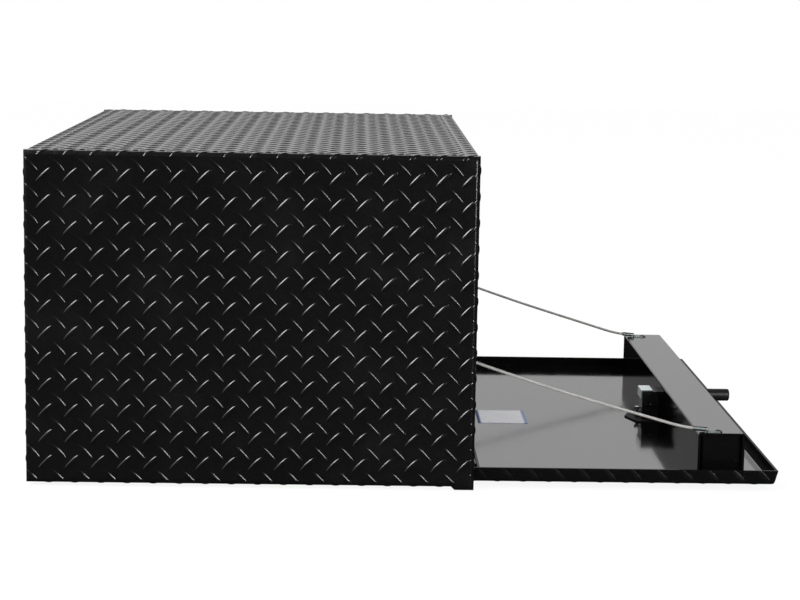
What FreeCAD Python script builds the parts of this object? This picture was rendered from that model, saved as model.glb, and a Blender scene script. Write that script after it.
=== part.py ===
# Underbody truck tool box: a folded and welded tread plate body with an inset
# drop-down door, a continuous hinge, a stiffening channel that carries the latch,
# and two stay cables. Millimetres, +Z up, +X out of the doorway, Y along the width.
# The origin is the middle of the floor's underside. The door lies open.

import FreeCAD, Part
import math
import os
import Sketcher

os.makedirs("parts", exist_ok=True)

doc = FreeCAD.newDocument("underbody_tool_box")

# Driving dimensions

DIMENSIONS = [
    ("box_depth", 609.6, "outside, front to back"),
    ("box_width", 914.4, "outside, along the doorway"),
    ("box_height", 452.4, "outside, floor to top"),
    ("sheet", 3.2, "thickness of every folded sheet"),
    ("bend_radius", 6.4, "outside radius of the body's folds"),
    ("corner_radius", 3.2, "outside radius of the end panels' corners"),
    ("return_width", 15.0, "width of the flanges round an end panel"),
    ("wrap_flange", 20.0, "flanges of the back panel and the header"),
    ("sill_drop", 4.8, "how far the sill lies below the floor"),
    ("header_face", 29.8, "height of the header's front face"),
    ("rebate_depth", 28.0, "depth of the door's recess"),
    ("stop_width", 18.0, "width of the flanges that carry the seal"),
    ("sill_stop_rise", 19.6, "height of the sill's stop above its top"),
    ("lip_depth", 38.8, "lip behind the jamb's stop"),
    ("seal_width", 9.0, "width of the bulb seal"),
    ("seal_shift", 3.1, "seal's middle inside the door flange's middle"),
    ("seal_height", 7.2, "height of the bulb seal when pressed"),
    ("seal_round", 3.0, "radius of the bulb's shoulders"),
    ("door_side_gap", 3.0, "gap beside the shut door"),
    ("door_top_gap", 3.2, "gap above the shut door"),
    ("door_recess", 0.6, "how far the shut door's face lies back"),
    ("door_thickness", 19.7, "height of the door's flanges"),
    ("door_bend", 5.0, "outside radius of the door's folds"),
    ("ear_gap", 1.0, "ends of the door's side flanges to the box"),
    ("edge_lean", 16.0, "lean of the free edge's flange in degrees"),
    ("knuckle_radius", 3.2, "outside radius of the hinge's knuckles"),
    ("hinge_pin_radius", 1.6, "radius of the hinge pin"),
    ("hinge_play", 0.05, "radial play on the hinge pin"),
    ("leaf_thickness", 1.5, "thickness of the hinge's leaves"),
    ("hinge_length", 810.0, "length of the hinge"),
    ("knuckle_count", 30, "knuckles of both leaves"),
    ("knuckle_gap", 0.4, "end gap between knuckles"),
    ("box_leaf_width", 26.3, "hinge axis to the box leaf's edge"),
    ("door_leaf_width", 20.4, "hinge axis to the door leaf's edge"),
    ("rivet_radius", 2.4, "shank radius of the rivets"),
    ("rivet_head_radius", 4.8, "radius of the rivet heads"),
    ("rivet_head_height", 1.2, "height of the rivet heads"),
    ("hole_play", 0.05, "radial play of rivets and screws in their holes"),
    ("hinge_rivet_count", 9, "rivets in each hinge leaf"),
    ("hinge_rivet_pitch", 96.0, "spacing of the hinge rivets"),
    ("channel_edge_gap", 36.8, "channel's outer wall to the foot of the door's free edge"),
    ("channel_width", 65.0, "outside width of the channel"),
    ("channel_height", 62.2, "height of the channel on the door"),
    ("channel_near_gap", 29.5, "channel's near end to the door's side"),
    ("channel_far_gap", 16.4, "channel's far end to the door's side"),
    ("channel_bend", 3.6, "outside radius of the channel's folds"),
    ("cap_bend", 9.0, "outside radius of the end caps' folds"),
    ("cap_flange", 22.0, "flanges of the end caps"),
    ("cap_inset", 1.5, "how far the caps lie inside the channel's ends"),
    ("bolt_radius", 9.5, "radius of the latch bolt"),
    ("tail_radius", 6.5, "radius of the bolt's tail"),
    ("tail_gap", 3.0, "bolt's shoulder in front of the channel's inner wall"),
    ("bolt_height", 37.3, "latch bolt's axis above the door's inside"),
    ("bolt_reach", 6.4, "bolt's nose beyond the door's edge when drawn back"),
    ("bolt_length", 134.5, "length of the latch bolt"),
    ("bolt_nose", 3.0, "radius of the bolt's nose"),
    ("bolt_play", 0.08, "radial play of the bolt in its guides"),
    ("bolt_stroke", 16.0, "travel of the latch bolt"),
    ("block_depth", 25.5, "guide block, out from the channel"),
    ("block_width", 42.0, "guide block, along the channel"),
    ("block_roof", 1.0, "guide block's wall over the bolt"),
    ("side_screw_inset", 6.5, "block's front to its first side screw"),
    ("side_screw_pitch", 8.0, "spacing of the block's side screws"),
    ("side_screw_rise", 20.6, "side screws above the block's foot"),
    ("plate_length", 50.0, "latch base plate, out from the channel"),
    ("plate_width", 86.0, "latch base plate, along the channel"),
    ("plate_point", 14.0, "length of the base plate's point"),
    ("plate_thickness", 2.0, "thickness of the latch base plate"),
    ("stud_set_out", 30.4, "channel's wall to the base plate's stud"),
    ("stud_height", 15.0, "height of the stud over the base plate"),
    ("nut_radius", 4.2, "corner radius of the stud's nuts"),
    ("nut_height", 4.0, "height of the stud's nuts"),
    ("strap_width", 42.0, "zinc strap, along the channel"),
    ("strap_thickness", 2.0, "thickness of the zinc strap"),
    ("strap_reach", 18.0, "length of the strap's top"),
    ("strap_leg", 12.0, "length of the strap's leg"),
    ("bush_radius", 12.0, "outside radius of the bolt's bush"),
    ("bush_flange_radius", 15.0, "radius of the bush's flange"),
    ("bush_flange", 2.0, "thickness of the bush's flange"),
    ("bush_length", 9.5, "length of the bush behind its flange"),
    ("dish_radius", 27.0, "outside radius of the handle's dish"),
    ("dish_wall", 1.6, "wall of the dish"),
    ("dish_depth", 18.0, "depth of the dish"),
    ("dish_flange_radius", 36.0, "radius of the dish's flange"),
    ("dish_flange", 1.5, "thickness of the dish's flange"),
    ("dish_edge", 4.0, "radius at the bottom of the dish"),
    ("dish_play", 0.2, "gap round the dish in the door"),
    ("dish_rivet_circle", 31.5, "radius of the dish's rivet circle"),
    ("grip_length", 44.0, "length of the handle's grip"),
    ("grip_width", 12.0, "width of the handle's grip"),
    ("grip_height", 11.0, "height of the handle's grip"),
    ("grip_recess", 1.0, "grip behind the door's face"),
    ("grip_edge", 3.0, "radius along the grip"),
    ("boss_radius", 10.0, "radius of the handle's boss"),
    ("boss_gap", 0.5, "gap between the boss and the dish"),
    ("shaft_radius", 5.0, "radius of the handle's shaft"),
    ("shaft_play", 0.08, "radial play of the shaft in the dish"),
    ("cam_radius", 17.0, "radius of the cam plate"),
    ("cam_thickness", 4.0, "thickness of the cam plate"),
    ("cam_gap", 1.5, "gap between the dish and the cam"),
    ("crank_pin_radius", 3.0, "radius of the crank pin"),
    ("slot_play", 0.6, "gap each side of the crank pin in its slot"),
    ("yoke_gap", 3.5, "gap between the cam and the yoke"),
    ("yoke_thickness", 5.0, "thickness of the yoke"),
    ("yoke_length", 26.0, "yoke along the bolt"),
    ("yoke_width", 34.0, "yoke across the bolt"),
    ("yoke_shift", 4.0, "yoke's middle from the bolt's, towards the pin"),
    ("core_radius", 6.0, "radius of the lock core"),
    ("core_length", 10.0, "length of the lock core"),
    ("core_play", 0.05, "radial play of the lock core"),
    ("core_stand", 0.5, "lock core in front of the boss"),
    ("key_width", 1.6, "width of the key's slot"),
    ("key_height", 7.0, "height of the key's slot"),
    ("key_depth", 5.0, "depth of the key's slot"),
    ("keeper_thickness", 3.0, "thickness of the keeper"),
    ("keeper_stand", 5.0, "keeper above the header's soffit"),
    ("keeper_depth", 48.0, "keeper, front to back"),
    ("keeper_width", 84.0, "keeper, along the header"),
    ("keeper_set_back", 8.0, "keeper's front edge behind the header's face"),
    ("keeper_play", 1.25, "gap round the bolt in the keeper"),
    ("notch_width", 26.0, "header's notch for the bolt"),
    ("notch_rise", 8.0, "notch above the header's lower edge"),
    ("cable_radius", 2.0, "radius of the stay cables"),
    ("lug_radius", 3.2, "radius of a cable lug's barrel"),
    ("lug_barrel", 20.0, "length of a cable lug's barrel"),
    ("lug_tongue", 21.0, "length of a cable lug's tongue"),
    ("lug_width", 12.0, "width of a cable lug's tongue"),
    ("lug_thickness", 1.6, "thickness of a cable lug's tongue"),
    ("lug_hole", 6.0, "tongue's end to its hole"),
    ("lug_screw_radius", 2.4, "shank radius of the lug screws"),
    ("lug_head_radius", 5.0, "radius of the lug screws' heads"),
    ("lug_head_height", 1.5, "height of the lug screws' heads"),
    ("door_lug_tilt", 5.0, "tilt of the door lug's barrel in degrees"),
    ("door_lug_lead", 6.2, "door lug's barrel in front of the channel's wall"),
    ("door_lug_side_gap", 40.0, "door lug's axis to the door's side"),
    ("box_lug_back", 27.0, "box lug's barrel behind the front"),
    ("box_lug_height", 176.7, "height of the box lug's barrel end"),
    ("box_lead", 55.0, "cable's first straight beside the box lug"),
    ("door_lead", 14.0, "cable's last straight beside the door lug"),
    ("box_lug_tilt", 19.0, "slope of the box lug in degrees"),
    ("screw_radius", 2.0, "shank radius of the latch screws"),
    ("screw_head_radius", 3.0, "radius of the latch screws' heads"),
    ("screw_head_height", 1.6, "height of the latch screws' heads"),
    ("screw_depth", 7.0, "depth of the latch screws in the block"),
]

sheet_of_sizes = doc.addObject("Spreadsheet::Sheet", "Sizes")
for row, (alias, number, meaning) in enumerate(DIMENSIONS, start=1):
    sheet_of_sizes.set(f"A{row}", meaning)
    sheet_of_sizes.set(f"B{row}", str(number))
    sheet_of_sizes.setAlias(f"B{row}", alias)
doc.recompute()


class Size:
    """A size with its value now and the formula that ties it to the sheet."""

    def __init__(self, formula, value):
        self.formula = formula
        self.value = value

    def combine(self, other, sign, value, swapped=False):
        first, second = (other, self) if swapped else (self, other)
        return Size(f"({first.formula} {sign} {second.formula})", value)

    def __add__(self, other):
        other = as_size(other)
        return self.combine(other, "+", self.value + other.value)

    def __radd__(self, other):
        return as_size(other) + self

    def __sub__(self, other):
        other = as_size(other)
        return self.combine(other, "-", self.value - other.value)

    def __rsub__(self, other):
        return as_size(other) - self

    def __mul__(self, other):
        other = as_size(other)
        return self.combine(other, "*", self.value * other.value)

    def __rmul__(self, other):
        return self * other

    def __truediv__(self, other):
        other = as_size(other)
        return self.combine(other, "/", self.value / other.value)

    def __neg__(self):
        return self * -1

    def __float__(self):
        return float(self.value)


def as_size(number):
    """Give a plain number the same form as a size from the sheet."""
    return number if isinstance(number, Size) else Size(repr(float(number)), float(number))


def tangent(angle):
    """The tangent of an angle kept in degrees."""
    return Size(f"tan({angle.formula} * 1 deg)", math.tan(math.radians(angle.value)))


def cosine(angle):
    """The cosine of an angle kept in degrees."""
    return Size(f"cos({angle.formula} * 1 deg)", math.cos(math.radians(angle.value)))


class Dimensions:
    """The driving dimensions by name."""


dim = Dimensions()
for alias, number, meaning in DIMENSIONS:
    setattr(dim, alias, Size(f"Sizes.{alias}", float(number)))

# Levels and places worked out from the driving dimensions

half_depth = dim.box_depth / 2
half_width = dim.box_width / 2
front = half_depth
inner_width = dim.box_width - 2 * dim.return_width
half_inner = inner_width / 2

sill_top = dim.sheet - dim.sill_drop
soffit = dim.box_height - dim.header_face
stop_face = front - dim.rebate_depth
stop_back = stop_face - dim.sheet
lip_end = stop_back - dim.lip_depth
lip_face = half_inner - dim.stop_width

hinge_up = sill_top + dim.knuckle_radius
hinge_shift = 2.3
hinge_out = front + hinge_shift

door_inner_edge = hinge_out + dim.knuckle_radius
door_under = hinge_out + hinge_up - front + dim.door_recess
door_inside = door_under + dim.sheet
door_rim = door_under + dim.door_thickness
door_tip = soffit - dim.door_top_gap - hinge_up + hinge_out
door_base = door_tip - dim.door_thickness * tangent(dim.edge_lean)
door_half = half_inner - dim.door_side_gap

channel_far_wall = door_base - dim.channel_edge_gap
channel_wall = channel_far_wall - dim.channel_width
channel_middle = channel_far_wall - dim.channel_width / 2
channel_top = door_inside + dim.channel_height
channel_near_end = -(door_half - dim.channel_near_gap)
channel_far_end = door_half - dim.channel_far_gap

bolt_axis = door_inside + dim.bolt_height
bolt_tip = door_tip + dim.bolt_reach
bolt_rear = bolt_tip - dim.bolt_length
bolt_shoulder = channel_wall + dim.sheet + dim.tail_gap
bolt_shut_x = hinge_out + hinge_up - bolt_axis

crank_radius = dim.bolt_stroke / math.sqrt(2)
crank_throw = dim.bolt_stroke / 2
block_top = bolt_axis + dim.tail_radius + dim.block_roof
block_low = door_inside + dim.plate_thickness
block_face = channel_wall - dim.block_depth
cam_under = door_under + dim.dish_depth + dim.cam_gap
cam_top = cam_under + dim.cam_thickness
yoke_under = cam_top + dim.yoke_gap
yoke_top = yoke_under + dim.yoke_thickness

# Tools for the solids


def bind(target, name, amount):
    """Tie a property to the sheet."""
    target.setExpression(name, as_size(amount).formula)


PLANES = {"XY": ("XY_Plane", 1), "XZ": ("XZ_Plane", -1), "YZ": ("YZ_Plane", 1)}


def new_body(label):
    """Start a sub-part that is made of sketches and features."""
    body = doc.addObject("PartDesign::Body", label)
    body.Label = label
    return body


def sketch_on(body, plane, level):
    """A sketch parallel to one of the body's planes, at a level on its third axis."""
    role, sign = PLANES[plane]
    sketch = body.newObject("Sketcher::SketchObject", f"{body.Name}_sketch")
    support = [item for item in body.Origin.OriginFeatures if item.Role == role][0]
    sketch.AttachmentSupport = [(support, "")]
    sketch.MapMode = "FlatFace"
    bind(sketch, "AttachmentOffset.Base.z", as_size(level) * sign)
    return sketch


def fix_point(sketch, line, end, point):
    """Hold a point of the sketch at its two distances from the origin."""
    for direction, amount in zip(("DistanceX", "DistanceY"), point):
        amount = as_size(amount)
        index = sketch.addConstraint(Sketcher.Constraint(direction, -1, 1, line, end, amount.value))
        bind(sketch, f"Constraints[{index}]", amount)


def draw_outline(sketch, points):
    """A closed outline of straight lines through the points."""
    corners = [FreeCAD.Vector(float(x), float(y), 0) for x, y in points]
    lines = []
    for start, end in zip(corners, corners[1:] + corners[:1]):
        lines.append(sketch.addGeometry(Part.LineSegment(start, end), False))
    for line, following in zip(lines, lines[1:] + lines[:1]):
        sketch.addConstraint(Sketcher.Constraint("Coincident", line, 2, following, 1))
    for line, point in zip(lines, points):
        fix_point(sketch, line, 1, point)


def draw_circle(sketch, x, y, radius):
    """A circle at a point."""
    radius = as_size(radius)
    centre = FreeCAD.Vector(float(x), float(y), 0)
    circle = sketch.addGeometry(Part.Circle(centre, FreeCAD.Vector(0, 0, 1), radius.value), False)
    fix_point(sketch, circle, 3, (x, y))
    index = sketch.addConstraint(Sketcher.Constraint("Radius", circle, radius.value))
    bind(sketch, f"Constraints[{index}]", radius)


def rectangle(x_low, x_high, y_low, y_high):
    """The four corners of a rectangle."""
    return [(x_low, y_low), (x_high, y_low), (x_high, y_high), (x_low, y_high)]


def pad(body, plane, low, high, outlines=(), circles=()):
    """Add material between two levels of the plane's third axis."""
    sign = PLANES[plane][1]
    sketch = sketch_on(body, plane, low if sign > 0 else high)
    for points in outlines:
        draw_outline(sketch, points)
    for circle in circles:
        draw_circle(sketch, *circle)
    feature = body.newObject("PartDesign::Pad", f"{body.Name}_pad")
    feature.Profile = sketch
    bind(feature, "Length", as_size(high) - low)
    doc.recompute()
    return feature


def pocket(body, plane, low, high, outlines=(), circles=()):
    """Take material away between two levels of the plane's third axis."""
    before = body.Shape.Volume
    sign = PLANES[plane][1]
    sketch = sketch_on(body, plane, high if sign > 0 else low)
    for points in outlines:
        draw_outline(sketch, points)
    for circle in circles:
        draw_circle(sketch, *circle)
    feature = body.newObject("PartDesign::Pocket", f"{body.Name}_pocket")
    feature.Profile = sketch
    bind(feature, "Length", as_size(high) - low)
    doc.recompute()
    if body.Shape.Volume >= before:
        raise RuntimeError(f"a pocket of {body.Label} cuts nothing")
    return feature


def round_edges(body, radius, chosen):
    """Round the edges that the test picks, with one radius."""
    base = body.Tip
    names = [f"Edge{number}" for number, edge in enumerate(base.Shape.Edges, start=1) if chosen(edge)]
    if not names:
        raise RuntimeError(f"no edge of {body.Label} to round")
    feature = body.newObject("PartDesign::Fillet", f"{body.Name}_fillet")
    feature.Base = (base, names)
    bind(feature, "Radius", radius)
    doc.recompute()
    return feature


NEAR = 1e-4


def along(edge, axis):
    """Whether an edge is straight and lies along an axis."""
    if edge.Curve.TypeId != "Part::GeomLine":
        return False
    direction = edge.Curve.Direction
    return abs(abs(getattr(direction, axis)) - 1) < NEAR


def at_places(axis, places):
    """A test for straight edges along an axis through any of the places."""
    others = [name for name in "xyz" if name != axis]
    wanted = [(float(first), float(second)) for first, second in places]

    def chosen(edge):
        if not along(edge, axis):
            return False
        point = edge.Vertexes[0].Point
        here = [getattr(point, name) for name in others]
        return any(math.dist(here, place) < NEAR for place in wanted)

    return chosen


def folded(path):
    """Outline of a sheet folded along a path of square turns, on the path's left."""
    steps = []
    for (x_start, y_start), (x_end, y_end) in zip(path, path[1:]):
        run, rise = float(x_end) - float(x_start), float(y_end) - float(y_start)
        steps.append((0, math.copysign(1, run)) if abs(run) > abs(rise) else (-math.copysign(1, rise), 0))
    inner = []
    for number, (x, y) in enumerate(path):
        touching = steps[max(number - 1, 0):number + 1]
        shift = [sum(step[side] for step in touching) for side in (0, 1)]
        inner.append((x + dim.sheet * shift[0], y + dim.sheet * shift[1]))
    return path + inner[::-1]


def fold_corners(path, outline):
    """Pairs of the outside and the inside corner at each fold of the path."""
    count = len(path)
    pairs = []
    for number in range(1, count - 1):
        on_path, off_path = outline[number], outline[2 * count - 1 - number]
        before, after = path[number - 1], path[number + 1]
        middle = [(float(before[side]) + float(after[side])) / 2 for side in (0, 1)]
        spans = [math.dist([float(value) for value in point], middle) for point in (on_path, off_path)]
        pairs.append((on_path, off_path) if spans[0] > spans[1] else (off_path, on_path))
    return pairs


def folded_sheet(label, plane, axis, path, low, high, radius):
    """A sheet folded along a path and run between two levels."""
    body = new_body(label)
    outline = folded(path)
    pad(body, plane, low, high, [outline])
    pairs = fold_corners(path, outline)
    round_edges(body, radius, at_places(axis, [outside for outside, inside in pairs]))
    round_edges(body, radius - dim.sheet, at_places(axis, [inside for outside, inside in pairs]))
    return body


def vector(x, y, z):
    """A point from sizes or numbers."""
    return FreeCAD.Vector(float(x), float(y), float(z))


def domed(shank_radius, shank_length, head_radius, head_height):
    """A rivet or a screw along Z: its head's underside lies at zero."""
    shank_radius, shank_length = float(shank_radius), float(shank_length)
    head_radius, head_height = float(head_radius), float(head_height)
    foot = FreeCAD.Vector(0, 0, -shank_length)
    corners = [foot, FreeCAD.Vector(shank_radius, 0, -shank_length), FreeCAD.Vector(shank_radius, 0, 0),
               FreeCAD.Vector(head_radius, 0, 0)]
    crown = FreeCAD.Vector(0, 0, head_height)
    ball = (head_radius ** 2 + head_height ** 2) / (2 * head_height)
    half_turn = math.asin(head_radius / ball) / 2
    middle = FreeCAD.Vector(ball * math.sin(half_turn), 0, head_height - ball + ball * math.cos(half_turn))
    edges = [Part.makeLine(start, end) for start, end in zip(corners, corners[1:])]
    edges.append(Part.Arc(corners[-1], middle, crown).toShape())
    edges.append(Part.makeLine(crown, foot))
    return Part.Face(Part.Wire(edges)).revolve(FreeCAD.Vector(), FreeCAD.Vector(0, 0, 1), 360)


def placed(shape, position, direction):
    """A copy of a shape with its Z axis turned to a direction."""
    copy = shape.copy()
    turn = FreeCAD.Rotation(FreeCAD.Vector(0, 0, 1), direction)
    copy.Placement = FreeCAD.Placement(position, turn).multiply(copy.Placement)
    return copy


def group(label, shapes):
    """One sub-part that holds several separate solids."""
    feature = doc.addObject("Part::Feature", label)
    feature.Label = label
    feature.Shape = Part.makeCompound(shapes)
    return feature


UP, DOWN = FreeCAD.Vector(0, 0, 1), FreeCAD.Vector(0, 0, -1)
OUT, IN = FreeCAD.Vector(1, 0, 0), FreeCAD.Vector(-1, 0, 0)
SIDES = {"near": -1, "far": 1}

# The body


def build_end_panel(name, side):
    """An end of the body: a pan with a flange all round and a tab beside the sill."""
    body = new_body(f"end_panel_{name}")
    outline = [
        (-half_depth, 0), (stop_back, 0), (stop_back + dim.sill_drop, -dim.sill_drop),
        (front, -dim.sill_drop), (front, dim.box_height), (-half_depth, dim.box_height),
    ]
    levels = (-half_width, -half_inner) if side < 0 else (half_inner, half_width)
    pad(body, "XZ", *levels, [outline])
    face_level = side * half_width.value
    round_edges(body, dim.bend_radius, lambda edge: all(
        abs(vertex.Y - face_level) < NEAR for vertex in edge.Vertexes))
    left, right = -half_depth + dim.sheet, front - dim.sheet
    turn = dim.sheet * math.tan(math.pi / 8)
    inside = [
        (left, dim.sheet), (stop_back + turn, dim.sheet), (stop_back + dim.sill_drop + turn, sill_top),
        (right, sill_top), (right, dim.box_height - dim.sheet), (left, dim.box_height - dim.sheet),
    ]
    levels = (half_inner - 1, half_width - dim.sheet)
    if side < 0:
        levels = (-half_width + dim.sheet, -half_inner + 1)
    pocket(body, "XZ", *levels, [inside])
    floor_level = side * (half_width.value - dim.sheet.value)
    round_edges(body, dim.bend_radius - dim.sheet, lambda edge: all(
        abs(vertex.Y - floor_level) < NEAR for vertex in edge.Vertexes))
    return body


def build_plate(label, x_low, x_high, z_low, z_high):
    """A flat sheet between the end panels."""
    body = new_body(label)
    pad(body, "XY", z_low, z_high, [rectangle(x_low, x_high, -half_inner, half_inner)])
    return body


def build_back_panel():
    """The back with a flange forward along its top and its foot."""
    wrap = -half_depth + dim.wrap_flange
    path = [(wrap, 0), (-half_depth, 0), (-half_depth, dim.box_height), (wrap, dim.box_height)]
    return folded_sheet("back_panel", "XZ", "y", path[::-1], -half_inner, half_inner, dim.bend_radius)


def build_header():
    """The Z section over the doorway, notched where the latch bolt swings in."""
    path = [(stop_face, soffit - dim.stop_width), (stop_face, soffit), (front, soffit),
            (front, dim.box_height), (front - dim.wrap_flange, dim.box_height)]
    body = folded_sheet("header", "XZ", "y", path, -half_inner, half_inner, dim.bend_radius)
    notch_half = dim.notch_width / 2
    notch = rectangle(stop_back - 1, front + 1, soffit - dim.stop_width - 1, soffit + dim.notch_rise)
    pocket(body, "XZ", -notch_half, notch_half, [notch])
    rivets = [(front - dim.keeper_set_back * 2, y, dim.rivet_radius + dim.hole_play)
              for y in (-keeper_rivet_y, keeper_rivet_y)]
    pocket(body, "XY", soffit - 1, soffit + dim.sheet + 1, circles=rivets)
    return body


keeper_rivet_y = dim.keeper_width / 2 - 10


def build_jamb(name, side):
    """A side of the doorway: rebate wall, stop and a lip that carries the cable."""
    body = new_body(f"jamb_{name}")
    path = [(front - dim.sheet, half_inner), (stop_face, half_inner),
            (stop_face, lip_face), (lip_end, lip_face)]
    if side < 0:
        path = [(x, -y) for x, y in path]
    else:
        path = path[::-1]
    outline = folded(path)
    low, high = sill_top + dim.sill_stop_rise, soffit - dim.stop_width
    pad(body, "XY", low, high, [outline])
    turn = dim.sheet * math.tan(math.pi / 8)
    wall_top = dim.box_height - dim.sheet
    wall = [(stop_back, dim.sheet), (stop_back + turn, dim.sheet),
            (stop_back + dim.sill_drop + turn, sill_top), (front - dim.sheet, sill_top),
            (front - dim.sheet, wall_top), (stop_back, wall_top)]
    levels = (-half_inner - dim.sheet, -half_inner) if side < 0 else (half_inner, half_inner + dim.sheet)
    pad(body, "XZ", *levels, [wall])
    lug_place = box_lug_place(side)
    hole = (lug_place[0], lug_place[2], dim.lug_screw_radius + dim.hole_play)
    ends = sorted([side * (lip_face.value - 1), side * (lip_face.value + dim.sheet.value + 1)])
    pocket(body, "XZ", *ends, circles=[hole])
    return body


def build_sill():
    """The lowered front of the floor with its upturned stop."""
    path = [(stop_face, sill_top + dim.sill_stop_rise), (stop_face, sill_top), (front, sill_top)]
    path = path[::-1]
    body = folded_sheet("sill", "XZ", "y", path, -half_inner, half_inner, dim.bend_radius)
    holes = [(hinge_out - dim.box_leaf_width / 2, y, dim.rivet_radius + dim.hole_play)
             for y in hinge_rivet_places()]
    pocket(body, "XY", -dim.sill_drop - 1, sill_top + 1, circles=holes)
    return body


def build_seal():
    """The bulb seal on the stops, open at the header's notch."""
    body = new_body("door_seal")
    half_seal = dim.seal_width / 2
    y_line = door_half - dim.sheet / 2 - dim.seal_shift
    z_low = hinge_up + door_inner_edge - hinge_out + dim.sheet / 2
    z_high = soffit - dim.door_top_gap - dim.sheet / 2 - dim.seal_shift
    outer = rectangle(-y_line - half_seal, y_line + half_seal, z_low - half_seal, z_high + half_seal)
    inner = rectangle(-y_line + half_seal, y_line - half_seal, z_low + half_seal, z_high - half_seal)
    face = stop_face + dim.seal_height
    pad(body, "YZ", stop_face, face, [outer, inner])
    gap = dim.notch_width / 2 + 2
    top = rectangle(-gap, gap, z_high - dim.seal_width, z_high + dim.seal_width)
    pocket(body, "YZ", stop_face - 1, face + 1, [top])
    round_edges(body, dim.seal_round, lambda edge: abs(edge.Vertexes[0].X - face.value) < NEAR
                and abs(edge.Vertexes[-1].X - face.value) < NEAR and edge.Length > 2 * dim.seal_width.value)
    return body


def build_keeper():
    """The plate above the soffit that the extended bolt enters."""
    body = new_body("bolt_keeper")
    x_high = front - dim.keeper_set_back
    x_low = x_high - dim.keeper_depth
    low = soffit + dim.sheet + dim.keeper_stand
    half = dim.keeper_width / 2
    pad(body, "XY", low, low + dim.keeper_thickness, [rectangle(x_low, x_high, -half, half)])
    round_edges(body, dim.corner_radius, lambda edge: along(edge, "z"))
    holes = [(bolt_shut_x, 0, dim.bolt_radius + dim.keeper_play)]
    holes += [(front - dim.keeper_set_back * 2, y, dim.rivet_radius + dim.hole_play)
              for y in (-keeper_rivet_y, keeper_rivet_y)]
    pocket(body, "XY", low - 1, low + dim.keeper_thickness + 1, circles=holes)
    return body


def build_keeper_fixings():
    """The keeper's two rivets, and the sleeves that hold it above the soffit."""
    x = front - dim.keeper_set_back * 2
    low, high = soffit + dim.sheet, soffit + dim.sheet + dim.keeper_stand
    top = high + dim.keeper_thickness
    rivet = domed(dim.rivet_radius, top - soffit, dim.rivet_head_radius, dim.rivet_head_height)
    sleeve = Part.makeCylinder(float(dim.rivet_head_radius), float(dim.keeper_stand))
    bore = Part.makeCylinder(float(dim.rivet_radius + dim.hole_play), float(dim.keeper_stand))
    sleeve = sleeve.cut(bore)
    places = (-keeper_rivet_y, keeper_rivet_y)
    group("keeper_sleeves", [placed(sleeve, vector(x, y, low), UP) for y in places])
    group("keeper_rivets", [placed(rivet, vector(x, y, top), UP) for y in places])


# The hinge


def hinge_rivet_places():
    """Places of the rivets along a hinge leaf."""
    last = (int(dim.hinge_rivet_count.value) - 1) / 2
    return [dim.hinge_rivet_pitch * (number - last) for number in range(int(dim.hinge_rivet_count.value))]


def build_leaf(label, first, plate, web):
    """A hinge leaf: its plate, and every second knuckle with the web that joins it."""
    body = new_body(label)
    half = dim.hinge_length / 2
    pad(body, "XZ", -half, half, [plate])
    pitch = dim.hinge_length / dim.knuckle_count
    low = -half + pitch * first + dim.knuckle_gap / 2
    high = low + pitch - dim.knuckle_gap
    knuckle = pad(body, "XZ", low, high, circles=[(hinge_out, hinge_up, dim.knuckle_radius)])
    joined = pad(body, "XZ", low, high, [web])
    bore = pocket(body, "XZ", low - dim.knuckle_gap, high + dim.knuckle_gap,
                  circles=[(hinge_out, hinge_up, dim.hinge_pin_radius + dim.hinge_play)])
    row = body.newObject("PartDesign::LinearPattern", f"{body.Name}_row")
    row.Originals = [knuckle, joined, bore]
    row.Direction = ([item for item in body.Origin.OriginFeatures if item.Role == "Y_Axis"][0], [""])
    count = dim.knuckle_count / 2
    bind(row, "Occurrences", count)
    bind(row, "Length", pitch * 2 * (count - 1))
    body.Tip = row
    doc.recompute()
    return body


def build_hinge():
    """The continuous hinge between the sill and the door."""
    clear = dim.knuckle_radius + dim.knuckle_gap
    low, high = sill_top, sill_top + dim.leaf_thickness
    edge = hinge_out - dim.box_leaf_width
    box_leaf = build_leaf("hinge_leaf_box", 0, rectangle(edge, hinge_out - clear, low, high),
                          rectangle(hinge_out - clear - 1, hinge_out, low, high))
    holes = [(hinge_out - dim.box_leaf_width / 2, y, dim.rivet_radius + dim.hole_play)
             for y in hinge_rivet_places()]
    pocket(box_leaf, "XY", low - 1, high + 1, circles=holes)
    inner, outer = door_inner_edge - dim.leaf_thickness, door_inner_edge
    top = hinge_up + dim.door_leaf_width
    door_leaf = build_leaf("hinge_leaf_door", 1, rectangle(inner, outer, hinge_up + clear, top),
                           rectangle(inner, outer, hinge_up, hinge_up + clear + 1))
    holes = [(y + door_rivet_shift, door_rivet_level, dim.rivet_radius + dim.hole_play)
             for y in hinge_rivet_places()]
    pocket(door_leaf, "YZ", inner - 1, outer + 1, circles=holes)
    pin = doc.addObject("Part::Cylinder", "hinge_pin")
    pin.Label = "hinge_pin"
    bind(pin, "Radius", dim.hinge_pin_radius)
    bind(pin, "Height", dim.hinge_length)
    pin.Placement = FreeCAD.Placement(FreeCAD.Vector(), FreeCAD.Rotation(FreeCAD.Vector(1, 0, 0), -90))
    bind(pin, "Placement.Base.x", hinge_out)
    bind(pin, "Placement.Base.y", -dim.hinge_length / 2)
    bind(pin, "Placement.Base.z", hinge_up)
    rivet = domed(dim.rivet_radius, dim.leaf_thickness + dim.sheet, dim.rivet_head_radius,
                  dim.rivet_head_height)
    x = hinge_out - dim.box_leaf_width / 2
    group("hinge_rivets_box", [placed(rivet, vector(x, y, high), UP) for y in hinge_rivet_places()])
    group("hinge_rivets_door", [placed(rivet, vector(inner, y + door_rivet_shift, door_rivet_level), IN)
                                for y in hinge_rivet_places()])


door_rivet_level = hinge_up + dim.door_leaf_width - dim.rivet_head_radius - 1.5
door_rivet_shift = dim.rivet_head_radius * 2 + 1

# The door


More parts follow.
